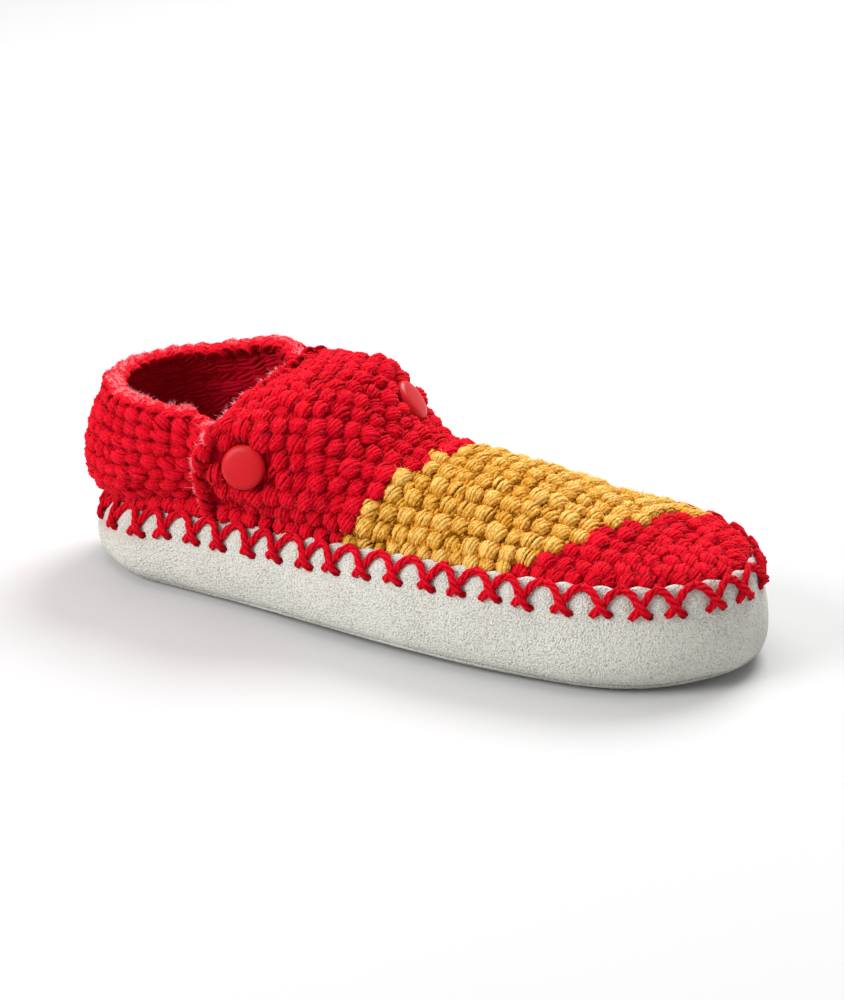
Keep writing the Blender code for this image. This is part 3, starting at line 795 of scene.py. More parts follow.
def tubes(lines, radii, ups, sides=PLY_SIDES):
    """Corners of tubes along lines[n, ring], their arms, their places along the fibre, and the faces."""
    count, rings = radii.shape
    corners, faces = tube_template(rings, sides)
    ring = ring_numbers(rings, sides)
    along = unit(np.gradient(lines, axis=1))
    beside = unit(np.cross(along, ups))
    above = np.cross(beside, along)
    arm = corners[:, 0, None] * beside[:, ring] + corners[:, 1, None] * above[:, ring]
    places = lines[:, ring] + radii[:, ring, None] * arm
    travel = travelled(lines)[:, ring]
    angle = np.arctan2(corners[:, 0], corners[:, 1])
    fibre = np.stack([angle * radii[:, ring] + PLY_TWIST * travel, travel], -1)
    many = [[c + n * len(corners) for c in face] for n in range(count) for face in faces]
    return places, arm, fibre, many


def tube_mesh(name, places, faces):
    mesh = bpy.data.meshes.new(name)
    mesh.from_pydata(to_row(places.reshape(-1, 3)).tolist(), [], faces)
    return mesh


print("a ply of", PLY_RINGS, "rings has", len(tube_template(PLY_RINGS, PLY_SIDES)[1]), "faces")

# %% [markdown]
# A stitch of this thick yarn shows as a bump like a small shell: the yarn rises out of the wall, arches
# over and dives in again. A fan of plies lies over the arch, thicker at one end, and leans a little,
# because the yarn is twisted. Sizes, turns and heights wander from stitch to stitch and from ply to ply,
# as a hand makes them: too little looks like a machine, too much like loose noodles.

# %% Plies of a stitch
PLIES, PLY_RADIUS, PLY_TAPER, PLY_FAN = 7, 0.81, 0.28, 76.0
YARN_THICK, CROWN = 2.9, 0.95
STITCH_FALL, FALL_POWER, STITCH_FLOOR = 3.4, 2.2, -3.2
RUN_EASE, EGG_ENDS, EGG_TIP, LEAN = 0.15, 0.32, 0.26, 0.55
Stitches = namedtuple("Stitches", "seat beside yarn normal")
Wander = namedtuple("Wander", "twist width length along height lean aside")
WANDER = Wander(twist=0.15, width=0.10, length=0.09, along=0.25, height=0.38, lean=0.2, aside=0.22)
PlyWander = namedtuple("PlyWander", "along turn size ring_size loose")
PLY_WANDER = PlyWander(along=0.2, turn=0.06, size=0.14, ring_size=0.06, loose=0.03)


def stitch_plies(
    at, width, length, plies=PLIES, lean=LEAN, lift=0.0, thick=YARN_THICK, drop=STITCH_FALL,
    floor=STITCH_FLOOR,
):
    """Centre lines, radii and outward directions of all plies of stitches, none deeper than the floor."""
    count = len(at.seat)
    t = np.linspace(-1, 1, PLY_RINGS)[None, None, :, None]
    phi = np.radians(np.linspace(-PLY_FAN, PLY_FAN, plies))[None, :, None, None]

    def draw(spread):
        return (spread * rng.standard_normal(count))[:, None, None, None]

    def ply_draw(spread, rings=1):
        return spread * rng.standard_normal((count, plies, rings, 1))

    def each(vectors):
        return vectors[:, None, None, :]

    width, length, lift = [np.reshape(size, (-1, 1, 1, 1)) for size in (width, length, lift)]
    twist = draw(WANDER.twist)
    beside = each(at.beside) * np.cos(twist) + each(at.yarn) * np.sin(twist)
    yarn = each(at.yarn) * np.cos(twist) - each(at.beside) * np.sin(twist)
    normal = each(at.normal)
    half = width / 2 * (1 + draw(WANDER.width))
    reach = length / 2 * (1 + draw(WANDER.length))
    run = reach * t * (1 - RUN_EASE * t**2) / (1 - RUN_EASE)
    run = run + draw(WANDER.along) + ply_draw(PLY_WANDER.along)
    fall = drop * np.abs(t) ** FALL_POWER
    height = lift + CROWN - thick + draw(WANDER.height) - fall
    slope = -drop * FALL_POWER * np.abs(t) ** (FALL_POWER - 1) * np.sign(t) / reach
    over = unit(normal - slope * yarn)
    egg = (1 - EGG_ENDS * t**2) * (1 + EGG_TIP * t)
    around = phi + ply_draw(PLY_WANDER.turn) + (lean + draw(WANDER.lean)) * t
    radius = PLY_RADIUS * (1 - PLY_TAPER * t**4) * (1 + ply_draw(PLY_WANDER.size))
    radius = radius * (1 + ply_draw(PLY_WANDER.ring_size, PLY_RINGS))
    loose = 1 + ply_draw(PLY_WANDER.loose) + ply_draw(PLY_WANDER.loose, PLY_RINGS)
    out = beside * np.sin(around) + over * np.cos(around)
    line = each(at.seat) + yarn * run + normal * height + beside * draw(WANDER.aside)
    line = line + beside * np.sin(around) * (half * egg * loose - radius)
    line = line + over * np.cos(around) * (thick * egg * loose - radius)
    deep = np.sum((line - each(at.seat)) * normal, axis=-1, keepdims=True)
    line = line + normal * np.maximum(floor - deep, 0.0)
    many = count * plies
    return (
        line.reshape(many, PLY_RINGS, 3),
        np.broadcast_to(radius, line.shape[:3] + (1,)).reshape(many, PLY_RINGS),
        np.broadcast_to(out, line.shape).reshape(many, PLY_RINGS, 3),
    )


print("plies a stitch", PLIES)

# %% [markdown]
# All plies of a piece become one mesh. On each corner it stores what the yarn finish reads: crown, which
# paints highlight and shade, grows with the height and is less on the sides of a ply, so that shade is
# painted between the plies; tone and the start of the fibre are drawn for each ply. Where the corners lie
# is kept as well, because fuzz grows there later.

# %% From plies to a piece
LIGHT_ON_PLY_SIDES, FIBRE_SPREAD = 0.58, 90.0
# Heights over the seat of a stitch, in mm, from full painted shade to full painted highlight.
KNIT_SHADE_SPAN = (-2.7, 1.1)
fuzz_roots = {}


def yarn_piece(name, plies, seats, normals, reach, finish, slot):
    """Hands in plies, given as lines, radii and ways out, with the seat and normal of each."""
    lines, radii, ups = plies
    places, arms, fibre, faces = tubes(lines, radii, ups)
    mesh = tube_mesh(name, places, faces)
    corners = places.shape[1]
    height = np.einsum("nij,nj->ni", places - seats[:, None], normals)
    outward = np.sum(arms * unit(ups)[:, ring_numbers(radii.shape[1], PLY_SIDES)], axis=-1)
    # Painted highlight and shade: crown grows from a stitch's roots to its top and is less on the sides of
    # each ply.
    crown = np.clip((height - reach[0]) / (reach[1] - reach[0]), 0, 1)
    crown = crown * (LIGHT_ON_PLY_SIDES + (1 - LIGHT_ON_PLY_SIDES) * np.clip(outward, -1, 1))
    mark(mesh, "crown", np.clip(crown, 0, 1))
    mark(mesh, "tone", np.repeat(rng.random(len(lines)), corners))
    seed = np.repeat(rng.random(len(lines)) * FIBRE_SPREAD, corners).reshape(-1, corners, 1)
    mark(mesh, "fibre", np.concatenate([fibre, seed], -1), "FLOAT_VECTOR")
    fuzz_roots[name] = (places, arms, normals, seats)
    hand_in(name, mesh, finish, slot)


def knit(name, at, width, length, finish, slot, reach=KNIT_SHADE_SPAN, plies=PLIES, **how):
    """Hands in the stitches of one piece."""
    seats, normals = np.repeat(at.seat, plies, 0), np.repeat(at.normal, plies, 0)
    yarn_piece(name, stitch_plies(at, width, length, plies, **how), seats, normals, reach, finish, slot)


print("crown from", KNIT_SHADE_SPAN[0], "to", KNIT_SHADE_SPAN[1], "mm above the seat of a stitch")

# %% [markdown]
# On the front the stitches stand in lines that run along the foot, counted from the outer edge upwards.
# On the flap every other line is shifted by half a stitch, as in seed stitch; on the band and the toe the
# stitches stand side by side. The lines of the other half are counted from the inner edge. Distances are
# measured on the surface itself, so the stitches stay evenly spaced where it bulges.

# %% Lines of stitches on the front
LINE_PITCH, STITCH_PITCH, LINES = 7.0, 6.8, 20
FIRST_LINE, BACK_ROOM, TOE_ROOM = 7.0, 3.0, 6.0
LATERAL_PART, REFERENCE_ROW, STAGGER_END = 0.66, 41.0, (-28.0, 8.0)
FRONT_SHARES = np.linspace(-TUCK_SHARE, TUCK_SHARE, 240)


def line_rows(surface, rows, across, start, pitch, shift):
    """Parameters along one line, evenly spaced by true length from the row start, shifted where asked."""
    travel = travelled(surface(rows, across))
    travel = travel - np.interp(start, rows, travel)
    steps = np.arange(math.ceil(travel[0] / pitch), math.floor(travel[-1] / pitch) + 1) * pitch
    moved = steps + pitch * shift(np.interp(steps, travel, rows))
    moved = moved[(moved >= travel[0]) & (moved <= travel[-1])]
    found = np.interp(moved, travel, rows)
    return found, np.interp(found, rows, across)


def front_lines():
    """Rows and shares of the stitches on all lines of both halves."""
    rows = np.linspace(RIM_STATION + BACK_ROOM, knit_tip(0.0) - TOE_ROOM, 300)
    arc = travelled(front_point(rows[:, None], FRONT_SHARES[None, :]))
    total = arc[:, -1]
    found = []
    for line in range(LINES):
        reach = FIRST_LINE + LINE_PITCH * line
        half_step = 0.5 * (line % 2)
        for part, starts in ((LATERAL_PART, 0 * total + reach), (1 - LATERAL_PART, total - reach)):
            across = np.array([np.interp(s, a, FRONT_SHARES) for s, a in zip(starts, arc)])
            row, side = line_rows(
                front_point, rows, across, REFERENCE_ROW, STITCH_PITCH,
                lambda r: half_step * (1 - ramp(*STAGGER_END, r)),
            )
            fits = reach < np.interp(row, rows, total) * part
            found.append(np.stack([row[fits], side[fits]], 1))
    return np.concatenate(found)


lattice = front_lines()
print("stitches on the lines", len(lattice))

# %% [markdown]
# Where the two halves meet and where the toe narrows, lines run into each other or leave gaps. A stitch
# that would stand on another is left out, and stitches are put in wherever there is still room, the widest
# gap first. Those under a snap cap are left out as well.

# %% Gaps, crowding and snaps
ROOM, CLOSEST, TIP_ROOM = 5.4, 0.8, 3.5
SNAP_RADIUS, SNAP_ROOM, SNAP_SLAB = 8.0, 1.2, 15.0


def thinned(found):
    """Leaves out a stitch that would stand on one already there."""
    places = front_point(*found.T)
    keep = []
    for i, place in enumerate(places):
        if not keep or np.linalg.norm(places[keep] - place, axis=1).min() > CLOSEST * ROOM:
            keep.append(i)
    return found[keep]


def gaps_left(places, spare, room):
    """Spare spots to fill, the widest gap first, until none is wider than the room needed."""
    free = front_point(*spare.T)
    near = np.min(np.linalg.norm(free[:, None] - places[None], axis=-1), axis=1)
    extra = []
    while near.max() > room:
        best = int(near.argmax())
        extra.append(spare[best])
        near = np.minimum(near, np.linalg.norm(free - free[best], axis=1))
    return np.array(extra).reshape(-1, 2)


def off_snaps(places, room):
    """Which places are clear of the snap caps."""
    clear = np.ones(len(places), bool)
    for snap in SNAPS:
        height, radius = from_snap(places, snap)
        clear &= (radius > SNAP_RADIUS + room) | (np.abs(height) > SNAP_SLAB)
    return clear


spare_rows = np.linspace(RIM_STATION + BACK_ROOM, knit_tip(0.0) - TIP_ROOM, 100)
spare = np.stack(np.meshgrid(spare_rows, FRONT_SHARES[::3], indexing="ij"), -1).reshape(-1, 2)
lattice = thinned(lattice)
lattice = np.concatenate([lattice, gaps_left(front_point(*lattice.T), spare, ROOM)])
lattice = lattice[off_snaps(front_point(*lattice.T), SNAP_ROOM)]
print("stitches of the front", len(lattice))

# %% [markdown]
# At the bottom the knit comes down behind the suede's cut edge. One row of stitches follows that edge all
# the way round and closes the line between knit and suede. On the vamp and the toe it faces up as well as
# out; at the heel, where the knit swells over the edge, it faces out. Round the toe its yarn lies across
# the foot like that of the other lines, and not up and down.

# %% Row along the lower edge
EDGE_ROW_PITCH, TOE_TURN = 6.1, 60.0
ROW_OUT, ROW_UP, SWELL_OUT, SWELL_UP = 0.5, 1.3, 0.26, 0.13
FACE_UP_HEEL, FACE_UP_MORE, FACE_UP_FROM = 0.1, 0.6, (-60.0, 15.0)


def spread_out(values, points, pitch):
    """Values that belong to a line of points, read about a pitch apart along it."""
    travel = travelled(points)
    count = max(int(round(travel[-1] / pitch)), 1)
    return np.interp((np.arange(count) + 0.5) * travel[-1] / count, travel, values)


def lower_row():
    turns = np.linspace(0, 2 * math.pi, 1200)
    turns = spread_out(turns, plan_inset(turns, EDGE_INSET), EDGE_ROW_PITCH)
    at = plan_point(turns)[:, 0]
    swell = section_column("belly", at)
    flat, outward = plan_inset(turns, EDGE_INSET - ROW_OUT - SWELL_OUT * swell), plan_normal(turns)
    height = plan_column("lip", at) + ROW_UP + SWELL_UP * swell
    seat = np.concatenate([flat, height[:, None]], 1)
    face_up = FACE_UP_HEEL + FACE_UP_MORE * ramp(*FACE_UP_FROM, flat[:, 0])
    normal = unit(np.concatenate([outward, face_up[:, None]], 1))
    around = np.stack([-outward[:, 1], outward[:, 0], 0 * turns], 1)
    lengthwise = unit(np.array([1.0, 0.0, 0.0]) - normal * normal[:, :1])
    beside = np.where(flat[:, :1] > TOE_TURN, lengthwise, around)
    return Stitches(seat, beside, np.cross(normal, beside), normal)


def in_band(station, across):
    """Which stitches are knitted with the second yarn."""
    back, front = [smooth_table(BAND, "across", column, across) for column in ("back", "front")]
    return (station > back) & (station < front)


lower = lower_row()
lower_side = np.where(lower.seat[:, 1] < toe_centre(lower.seat[:, 0]), -1.0, 1.0)
lower_mustard = in_band(lower.seat[:, 0], lower_side)
print("stitches along the lower edge", len(lower.seat))

# %% [markdown]
# A stitch needs more than a place: which way is out, and which way its yarn runs. Small steps on the
# surface give both. The stitches of the lines then give way to the row along the lower edge, and every
# corner of the wall under them takes the colour of the nearest stitch.

# %% Frames of the stitches
LOWER_ROOM, ROW_STEP, SHARE_STEP = 4.2, 0.4, 0.01


def frames(surface, first, second, step):
    """Places, directions and outward normals of a surface at many parameters."""
    along = unit(surface(first + step, second) - surface(first - step, second))
    across = surface(first, second + SHARE_STEP) - surface(first, second - SHARE_STEP)
    normal = unit(np.cross(along, across))
    return surface(first, second), along, np.cross(normal, along), normal


def front_stitches(chosen):
    return Stitches(*frames(front_point, *chosen.T, ROW_STEP))


def picked(stitches, chosen):
    return Stitches(*[part[chosen] for part in stitches])


def corner_places(mesh):
    flat = np.empty(len(mesh.vertices) * 3, np.float32)
    mesh.vertices.foreach_get("co", flat)
    return flat.reshape(-1, 3) / MM - ROW_SHIFT


def distances(seats, others):
    return np.linalg.norm(seats[:, None] - others[None], axis=-1)


def nearest(spots, seats):
    """Number of the seat that is nearest to each spot."""
    return np.array([int(np.argmin(np.sum((seats - spot) ** 2, axis=1))) for spot in spots])


every = front_stitches(lattice)
clear = np.min(distances(every.seat, lower.seat), axis=1) > LOWER_ROOM
every = Stitches(*[np.concatenate([a[clear], b]) for a, b in zip(every, lower)])
mustard = in_band(front_station(*lattice.T), lattice[:, 1])
mustard = np.concatenate([mustard[clear], lower_mustard])
mark(front_mesh, "band", mustard[nearest(corner_places(front_mesh), every.seat)])
print("red", int((~mustard).sum()), "mustard", int(mustard.sum()))

# %% [markdown]
# Now the front is knitted, in two pieces, one for each yarn. A bump pattern on the wall would be lighter,
# but the outline of the slipper would stay smooth, and thick yarn shows most in its outline. A stitch grows
# a little where it has room and shrinks where it is crowded. Round the inner snap the knit is drawn up, so
# the stitches next to the cap stand higher.

# %% Stitches of the front
EVEN_GAP, SCALE_LIMITS, NEIGHBOUR = 6.9, (0.85, 1.1), 3
POCKET_RISE, POCKET_START, POCKET_END = 1.9, (8.0, 10.0), (13.0, 18.0)
FRONT_WIDE, FRONT_LONG, FRONT_LEAN = 7.1, 6.5, 0.8


def knit_front(name, at, second_yarn, width, length, lift, **how):
    """Hands in stitches of the front as two pieces, one for each yarn."""
    for yarn, chosen, finish in (("red", ~second_yarn, red_yarn), ("mustard", second_yarn, mustard_yarn)):
        wide, long, up = [np.broadcast_to(size, len(chosen))[chosen] for size in (width, length, lift)]
        knit(f"{name}_{yarn}", picked(at, chosen), wide, long, finish, "knit_" + yarn, lift=up, **how)


gap = np.sort(distances(every.seat, every.seat), axis=1)[:, NEIGHBOUR]
scale = np.clip(gap / EVEN_GAP, *SCALE_LIMITS)
pocket = np.linalg.norm(every.seat - snap_frame(SNAPS[1])[0], axis=1)
rise = POCKET_RISE * ramp(*POCKET_START, pocket) * (1 - ramp(*POCKET_END, pocket))
knit_front("front_stitches", every, mustard, FRONT_WIDE * scale, FRONT_LONG * scale, rise, lean=FRONT_LEAN)

# %% [markdown]
# Between these stitches the yarn of the row below shows. Those stitches lie deeper, have fewer plies and
# fill the gaps that are left, each in the colour of its nearest neighbour.

# %% Stitches of the row below
UNDER_ROOM, UNDER_PLIES, UNDER_LIFT, UNDER_WIDE, UNDER_LONG = 3.5, 4, -1.5, 5.2, 6.4
below = front_stitches(gaps_left(every.seat, spare, UNDER_ROOM))
below = picked(below, off_snaps(below.seat, 0.0))
below_mustard = mustard[nearest(below.seat, every.seat)]
# Lying deeper, these stitches get more of the painted shade of the crown value.
knit_front("front_under", below, below_mustard, UNDER_WIDE, UNDER_LONG, UNDER_LIFT, plies=UNDER_PLIES)

# %% [markdown]
# Round the heel the yarn lies the other way: rows of stitches run round the foot, each row shifted by
# half a stitch from the one below, and the yarn of a stitch runs along its row. Inside the collar the
# same rows show from the back. They are flatter and larger there, because the back of this knit is smooth.

# %% Stitches of the heel
HEEL_ROW, HEEL_PITCH, TOP_ROW = 5.7, 6.8, 4.4
TUCKED_LATERAL, TUCKED_MEDIAL = -63.0, -55.0
HEEL_FOOT, HEEL_WIDE, HEEL_LONG, HEEL_LEAN, HEEL_LIFT = 8.8, 6.2, 6.8, -0.75, 0.2
LINING_FOOT, LINING_SHIFT, LINING_WIDE, LINING_LONG = 8.0, 0.1, 7.6, 9.0
LINING_PLIES, LINING_THICK, LINING_FALL = 5, 1.3, 0.6
LINING_LIFT, RIM_LIFT, RIM_SHARES = -0.5, 0.9, (0.7, 0.9)
TURN_STEP = 0.01


def shows(turn):
    """Which turns of the quarter aren't yet deep under the flap."""
    return plan_point(turn)[:, 0] < np.where(turn > 0, TUCKED_LATERAL, TUCKED_MEDIAL)


def heel_lattice(depth, low, first):
    """Turn and share of stitches round the heel, in even rows from the suede's lip up to the rim."""
    turns = np.linspace(-QUARTER_TURN, QUARTER_TURN, 500)
    shares = np.linspace(0, 1, 60)
    arc = travelled(quarter_point(turns[:, None], shares[None, :], depth))
    climb = arc[:, -1] - TOP_ROW - low
    gaps = int(round(np.median(climb) / HEEL_ROW))

    def around(turn, level):
        return quarter_point(turn, level, depth)

    found = []
    for row in range(gaps + 1):
        share = np.array([np.interp(low + c * row / gaps, a, shares) for c, a in zip(climb, arc)])
        half_step = 0.5 * (row % 2)
        turn, level = line_rows(around, turns, share, first, HEEL_PITCH, lambda r: half_step + 0 * r)
        found.append(np.stack([turn, level], 1)[shows(turn)])
    return np.concatenate(found)


def heel_stitches(chosen, depth, way):
    def surface(turn, level):
        return quarter_point(turn, level, depth)

    seat, around, up, normal = frames(surface, *chosen.T, TURN_STEP)
    return Stitches(seat, up, around * way, normal * way)


outside = heel_stitches(heel_lattice(0.0, HEEL_FOOT, 0.0), 0.0, 1)
knit("heel_stitches", outside, HEEL_WIDE, HEEL_LONG, red_yarn, "knit_red", lean=HEEL_LEAN, lift=HEEL_LIFT)
lining = heel_lattice(KNIT_WALL, LINING_FOOT, LINING_SHIFT)
inside = heel_stitches(lining, KNIT_WALL, -1)
# The lining takes the dim copy of the red yarn, painted for the shade inside the collar.
knit(
    "heel_lining_stitches", inside, LINING_WIDE, LINING_LONG, lining_yarn, "knit_red", plies=LINING_PLIES,
    lift=RIM_LIFT * ramp(*RIM_SHARES, lining[:, 1]) + LINING_LIFT, thick=LINING_THICK, drop=LINING_FALL,
)

# %% [markdown]
# The collar and the back edge of the flap are bound off: a last row of stitches sits on the edge of the
# wall, and its yarn runs along the edge. Its way out is the way the edge faces. The collar's row is as
# plump as the rest of the heel, the flap's is flatter. Each row has a thick core of yarn under it, so that
# no gap opens where a stitch is seen from its end.

# %% Bound edges
EDGE_PITCH, EDGE_STAND, EDGE_LONG, EDGE_FLOOR, EDGE_SHADE_SPAN = 5.9, 0.4, 7.4, -6.0, (-4.6, 1.0)
COLLAR_WIDE, COLLAR_LIFT, FLAP_WIDE, FLAP_LIFT = 8.2, 0.3, 6.4, 0.0
CORE_RADIUS, CORE_DEEP, CORE_SIDES, CORE_SHADE = 2.1, 1.7, 8, 0.5
BELOW_RIM, INSIDE_EDGE, FLAP_REACH = 0.93, 3.0, 0.93


def edge_stitches(surface, first, second, inward):
    """Stitches over an edge, from two faces of a wall and a point a little inside the edge."""
    outer, inner = surface(first, second, 0.0), surface(first, second, KNIT_WALL)
    middle = (outer + inner) / 2
    facing = unit(middle - (inward(0.0) + inward(KNIT_WALL)) / 2)
    across = unit(inner - outer)
    facing = unit(facing - across * np.sum(facing * across, axis=1, keepdims=True))
    return Stitches(middle + facing * EDGE_STAND, across, np.cross(facing, across), facing)


def core_mesh(name, at):
    """One thick strand along the seats of an edge's stitches."""
    line = (at.seat - at.normal * CORE_DEEP)[None]
    radii = np.full(line.shape[:2], CORE_RADIUS)
    places, _, fibre, faces = tubes(line, radii, at.normal[None], CORE_SIDES)
    mesh = tube_mesh(name, places, faces)
    for field in ("crown", "tone"):
        mark(mesh, field, np.full(places.shape[1], CORE_SHADE))
    mark(mesh, "fibre", np.pad(fibre[0], ((0, 0), (0, 1))), "FLOAT_VECTOR")
    return mesh


turns = np.linspace(-QUARTER_TURN, QUARTER_TURN, 800)
turns = turns[shows(turns)]
turns = spread_out(turns, quarter_point(turns, 1.0), EDGE_PITCH)
collar = edge_stitches(quarter_point, turns, 1.0, lambda depth: quarter_point(turns, BELOW_RIM, depth))
shares = np.linspace(-FLAP_REACH, FLAP_REACH, 600)
shares = spread_out(shares, front_point(RIM_STATION, shares), EDGE_PITCH)
flap = edge_stitches(
    front_point, RIM_STATION, shares, lambda depth: front_point(RIM_STATION + INSIDE_EDGE, shares, depth)
)
for name, at, width, lift in (
    ("collar_edge", collar, COLLAR_WIDE, COLLAR_LIFT),
    ("flap_edge", flap, FLAP_WIDE, FLAP_LIFT),
):
    # The bound edges take the lit copy of the red yarn and start their painted highlight lower, so that
    # their flanks are painted lit too.
    how = {"reach": EDGE_SHADE_SPAN, "lean": HEEL_LEAN, "lift": lift, "floor": EDGE_FLOOR}
    knit(name, at, width, EDGE_LONG, edge_yarn, "knit_red", **how)
    hand_in(name + "_core", core_mesh(name + "_core", at), edge_yarn, "knit_red")

# %% [markdown]
# The sole's suede is a strip sewn round, with its cut edge lapped over the knit. The yarn that holds it
# pinches it in at each crossing, and between crossings it puffs out in small lobes. So the places of the
# crossings come first: the suede reads them here, and the lacing reads them again later.

# %% Where the edge stitches are
LACE_COUNT, LACE_START = 46, 6.34
LACE_TURNS = np.linspace(0, 2 * math.pi, 4001)
LACE_TRAVEL = travelled(plan_inset(LACE_TURNS, LIP_INSET))
LACE_PITCH = LACE_TRAVEL[-1] / LACE_COUNT
LIP_WAVE, LIP_LOW = 0.6, 0.2
LOBE, LOBE_WAVE, LOBE_BELOW, LOBE_TALL = 0.25, 0.75, 4.5, 4.0
SLACK_WAVES, SLACK_AT, SLACK_TALL = ((0.35, 9, 0.5), (0.25, 17, 2.0)), 9.0, 7.0
HEEL_DRAWN, HEEL_DRAWN_END, DRAWN_TALL = 1.8, (-126.0, -96.0), 7.0


def bell(value, middle, spread):
    """1 at the middle, falling smoothly to nothing a few spreads away."""
    return np.exp(-(((value - middle) / spread) ** 2))


def lace_turn(travel):
    return np.interp(np.mod(travel, LACE_TRAVEL[-1]), LACE_TRAVEL, LACE_TURNS)


def lace_wave(turn):
    """1 at a crossing, -1 halfway to the next."""
    travel = np.interp(np.mod(turn, 2 * math.pi), LACE_TURNS, LACE_TRAVEL)
    phase = np.abs(np.mod((travel - LACE_START) / LACE_PITCH + 0.5, 1.0) - 0.5)
    return np.cos(2 * math.pi * phase)


def lip_height(turn):
    """Height of the suede's cut edge, drawn down where the yarn passes over it."""
    return plan_column("lip", plan_point(turn)[..., 0]) + LIP_WAVE * lace_wave(turn) - LIP_LOW


def suede_puff(turn, height):
    """How far the suede stands out: in at the crossings, out in the lobes between."""
    at = plan_point(turn)[..., 0]
    below = plan_column("lip", at) - height
    lobes = bell(below, LOBE_BELOW, LOBE_TALL) * (LOBE - LOBE_WAVE * lace_wave(turn))
    wave = sum(size * np.sin(count * turn + start) for size, count, start in SLACK_WAVES)
    slack = wave * bell(height, SLACK_AT, SLACK_TALL)
    drawn = HEEL_DRAWN * (1 - ramp(*HEEL_DRAWN_END, at)) * bell(below, 0.0, DRAWN_TALL)
    return lobes + slack - drawn


print("crossings", LACE_COUNT, "every", round(float(LACE_PITCH), 2), "mm")

# %% [markdown]
# Suede is leather with its fibre side out: a matt, pale grey nap, mottled where it is brushed one way or
# the other. Fine noise makes the nap, cells make the pores between its tufts, and wide noise the brushing.
# A value stored on the mesh mixes the nap towards a pinkish brown.

# %% Suede finish
NAP_STOPS = [(0.2, (0.42, 0.40, 0.35, 1)), (0.45, (0.77, 0.76, 0.68, 1)), (0.75, (0.93, 0.92, 0.86, 1))]
HEEL_TINT_COLOUR = (0.55, 0.30, 0.27, 1)


def suede_finish():
    made, wire = start_finish(
        "suede", Roughness=0.92, Sheen_Weight=0.25, Sheen_Roughness=0.5, Specular_IOR_Level=0.15
    )
    place = object_place(wire)
    grain = noise(place, 1900.0, Roughness=0.6)
    pebble = wire.node("TexVoronoi", {}, {"Vector": place, "Scale": 1250.0, "Randomness": 1.0})
    shade = grain * 0.9 - pebble * 0.3 + noise(place, 60.0) * 0.2 + 0.06
    nap = wire.node("ValToRGB", {"stops": NAP_STOPS}, {"Fac": shade})
    colour = stored(wire, "stain").mix(nap, HEEL_TINT_COLOUR)
    return end_finish(made, Base_Color=colour, Normal=relief(grain + pebble * -0.6, 1.0, 1.0))


suede = suede_finish()
print("finish", suede.name)

# %% [markdown]
# The side of the sole is a grid again, wrapped once round the outline and welded where it meets itself.
# Each row of the grid is one ring of the strip: up the outside, over the cut edge, and a little way down
# inside, so that the suede shows its thickness.

# %% Suede side of the sole
SIDE_STEPS = 552
FACE_SHARES = (0.02, 0.09, 0.18, 0.28, 0.38, 0.48, 0.58, 0.66, 0.74, 0.80, 0.86, 0.92, 0.97)
Profile = namedtuple("Profile", "share inset drop")
LIP_PROFILE = (
    Profile(0.00, 2.0, 0.0),
    Profile(0.00, 0.4, 0.0),
    *[Profile(share, 0.0, 0.0) for share in FACE_SHARES],
    Profile(1.00, 0.25, 0.0),
    Profile(1.00, 0.7, -0.35),
    Profile(1.00, 1.3, -0.35),
    Profile(1.00, 1.8, 0.1),
    Profile(0.80, 2.0, 0.0),
    Profile(0.45, 2.0, 0.0),
)
HEEL_TINT, HEEL_TINT_BELOW, HEEL_TINT_TALL, HEEL_TINT_END = 0.45, 9.0, 4.0, (-118.0, -80.0)


def side_place(u, v):
    turn = 2 * math.pi * u
    row = np.clip((v * (len(LIP_PROFILE) - 1)).round().astype(int), 0, len(LIP_PROFILE) - 1)
    share, inset, drop = np.array(LIP_PROFILE)[row].T
    at = plan_point(turn)[..., 0]
    seam, lip = plan_column("seam", at), plan_column("lip", at)
    height = seam + (lip_height(turn) - seam) * share
    face = side_inset(np.minimum(height, lip), lip) + inset - suede_puff(turn, height)
    return np.concatenate([plan_inset(turn, face), (height - drop)[..., None]], -1)


shape = bmesh.new()
bent_grid(shape, SIDE_STEPS, len(LIP_PROFILE) - 1, side_place)
side_mesh = shape_mesh("suede_side", shape)
spots = corner_places(side_mesh)
# The pinkish-brown tint lies in a band about 9 mm under the lip and fades out towards the front of the heel.
below_lip = plan_column("lip", spots[:, 0]) - spots[:, 2]
at_heel = 1 - ramp(*HEEL_TINT_END, spots[:, 0])
mark(side_mesh, "stain", HEEL_TINT * bell(below_lip, HEEL_TINT_BELOW, HEEL_TINT_TALL) * at_heel)
hand_in("suede_side", side_mesh, suede, "suede_grey", ["sole_sidewall"])

# %% [markdown]
# The bottom panel is the same suede with its rim turned up to the seam. Its field is a grid between the
# outer and the inner outline, and a strip from there round the rim shares the field's border corners, so
# merging doubles welds the two. A modifier gives the sheet its thickness.

# %% Suede bottom
PANEL_STEPS, PANEL_COLUMNS, PANEL_FIELD, PANEL_SHEET = 90, 12, FOOT_INSET + 2.0, 1.5
FOOT_LIFT, HALF_IN = 0.1, 0.2
SeamRing = namedtuple("SeamRing", "inset up")
SEAM_RINGS = (SeamRing(0.1, -0.3), SeamRing(0.6, 0.0), SeamRing(2.4, 0.6))


def field_place(inset, height):
    """Grid over the plan, u from heel to toe and v from the lateral to the medial outline."""

    def place(u, v):
        lateral = plan_inset(math.pi * u, inset)
        medial = plan_inset(2 * math.pi - math.pi * u, inset)
        flat = lateral + (medial - lateral) * v[:, None]
        return np.concatenate([flat, height(flat[:, 0])[:, None]], -1)

    return place


def underside(at):
    return plan_column("floor", at)


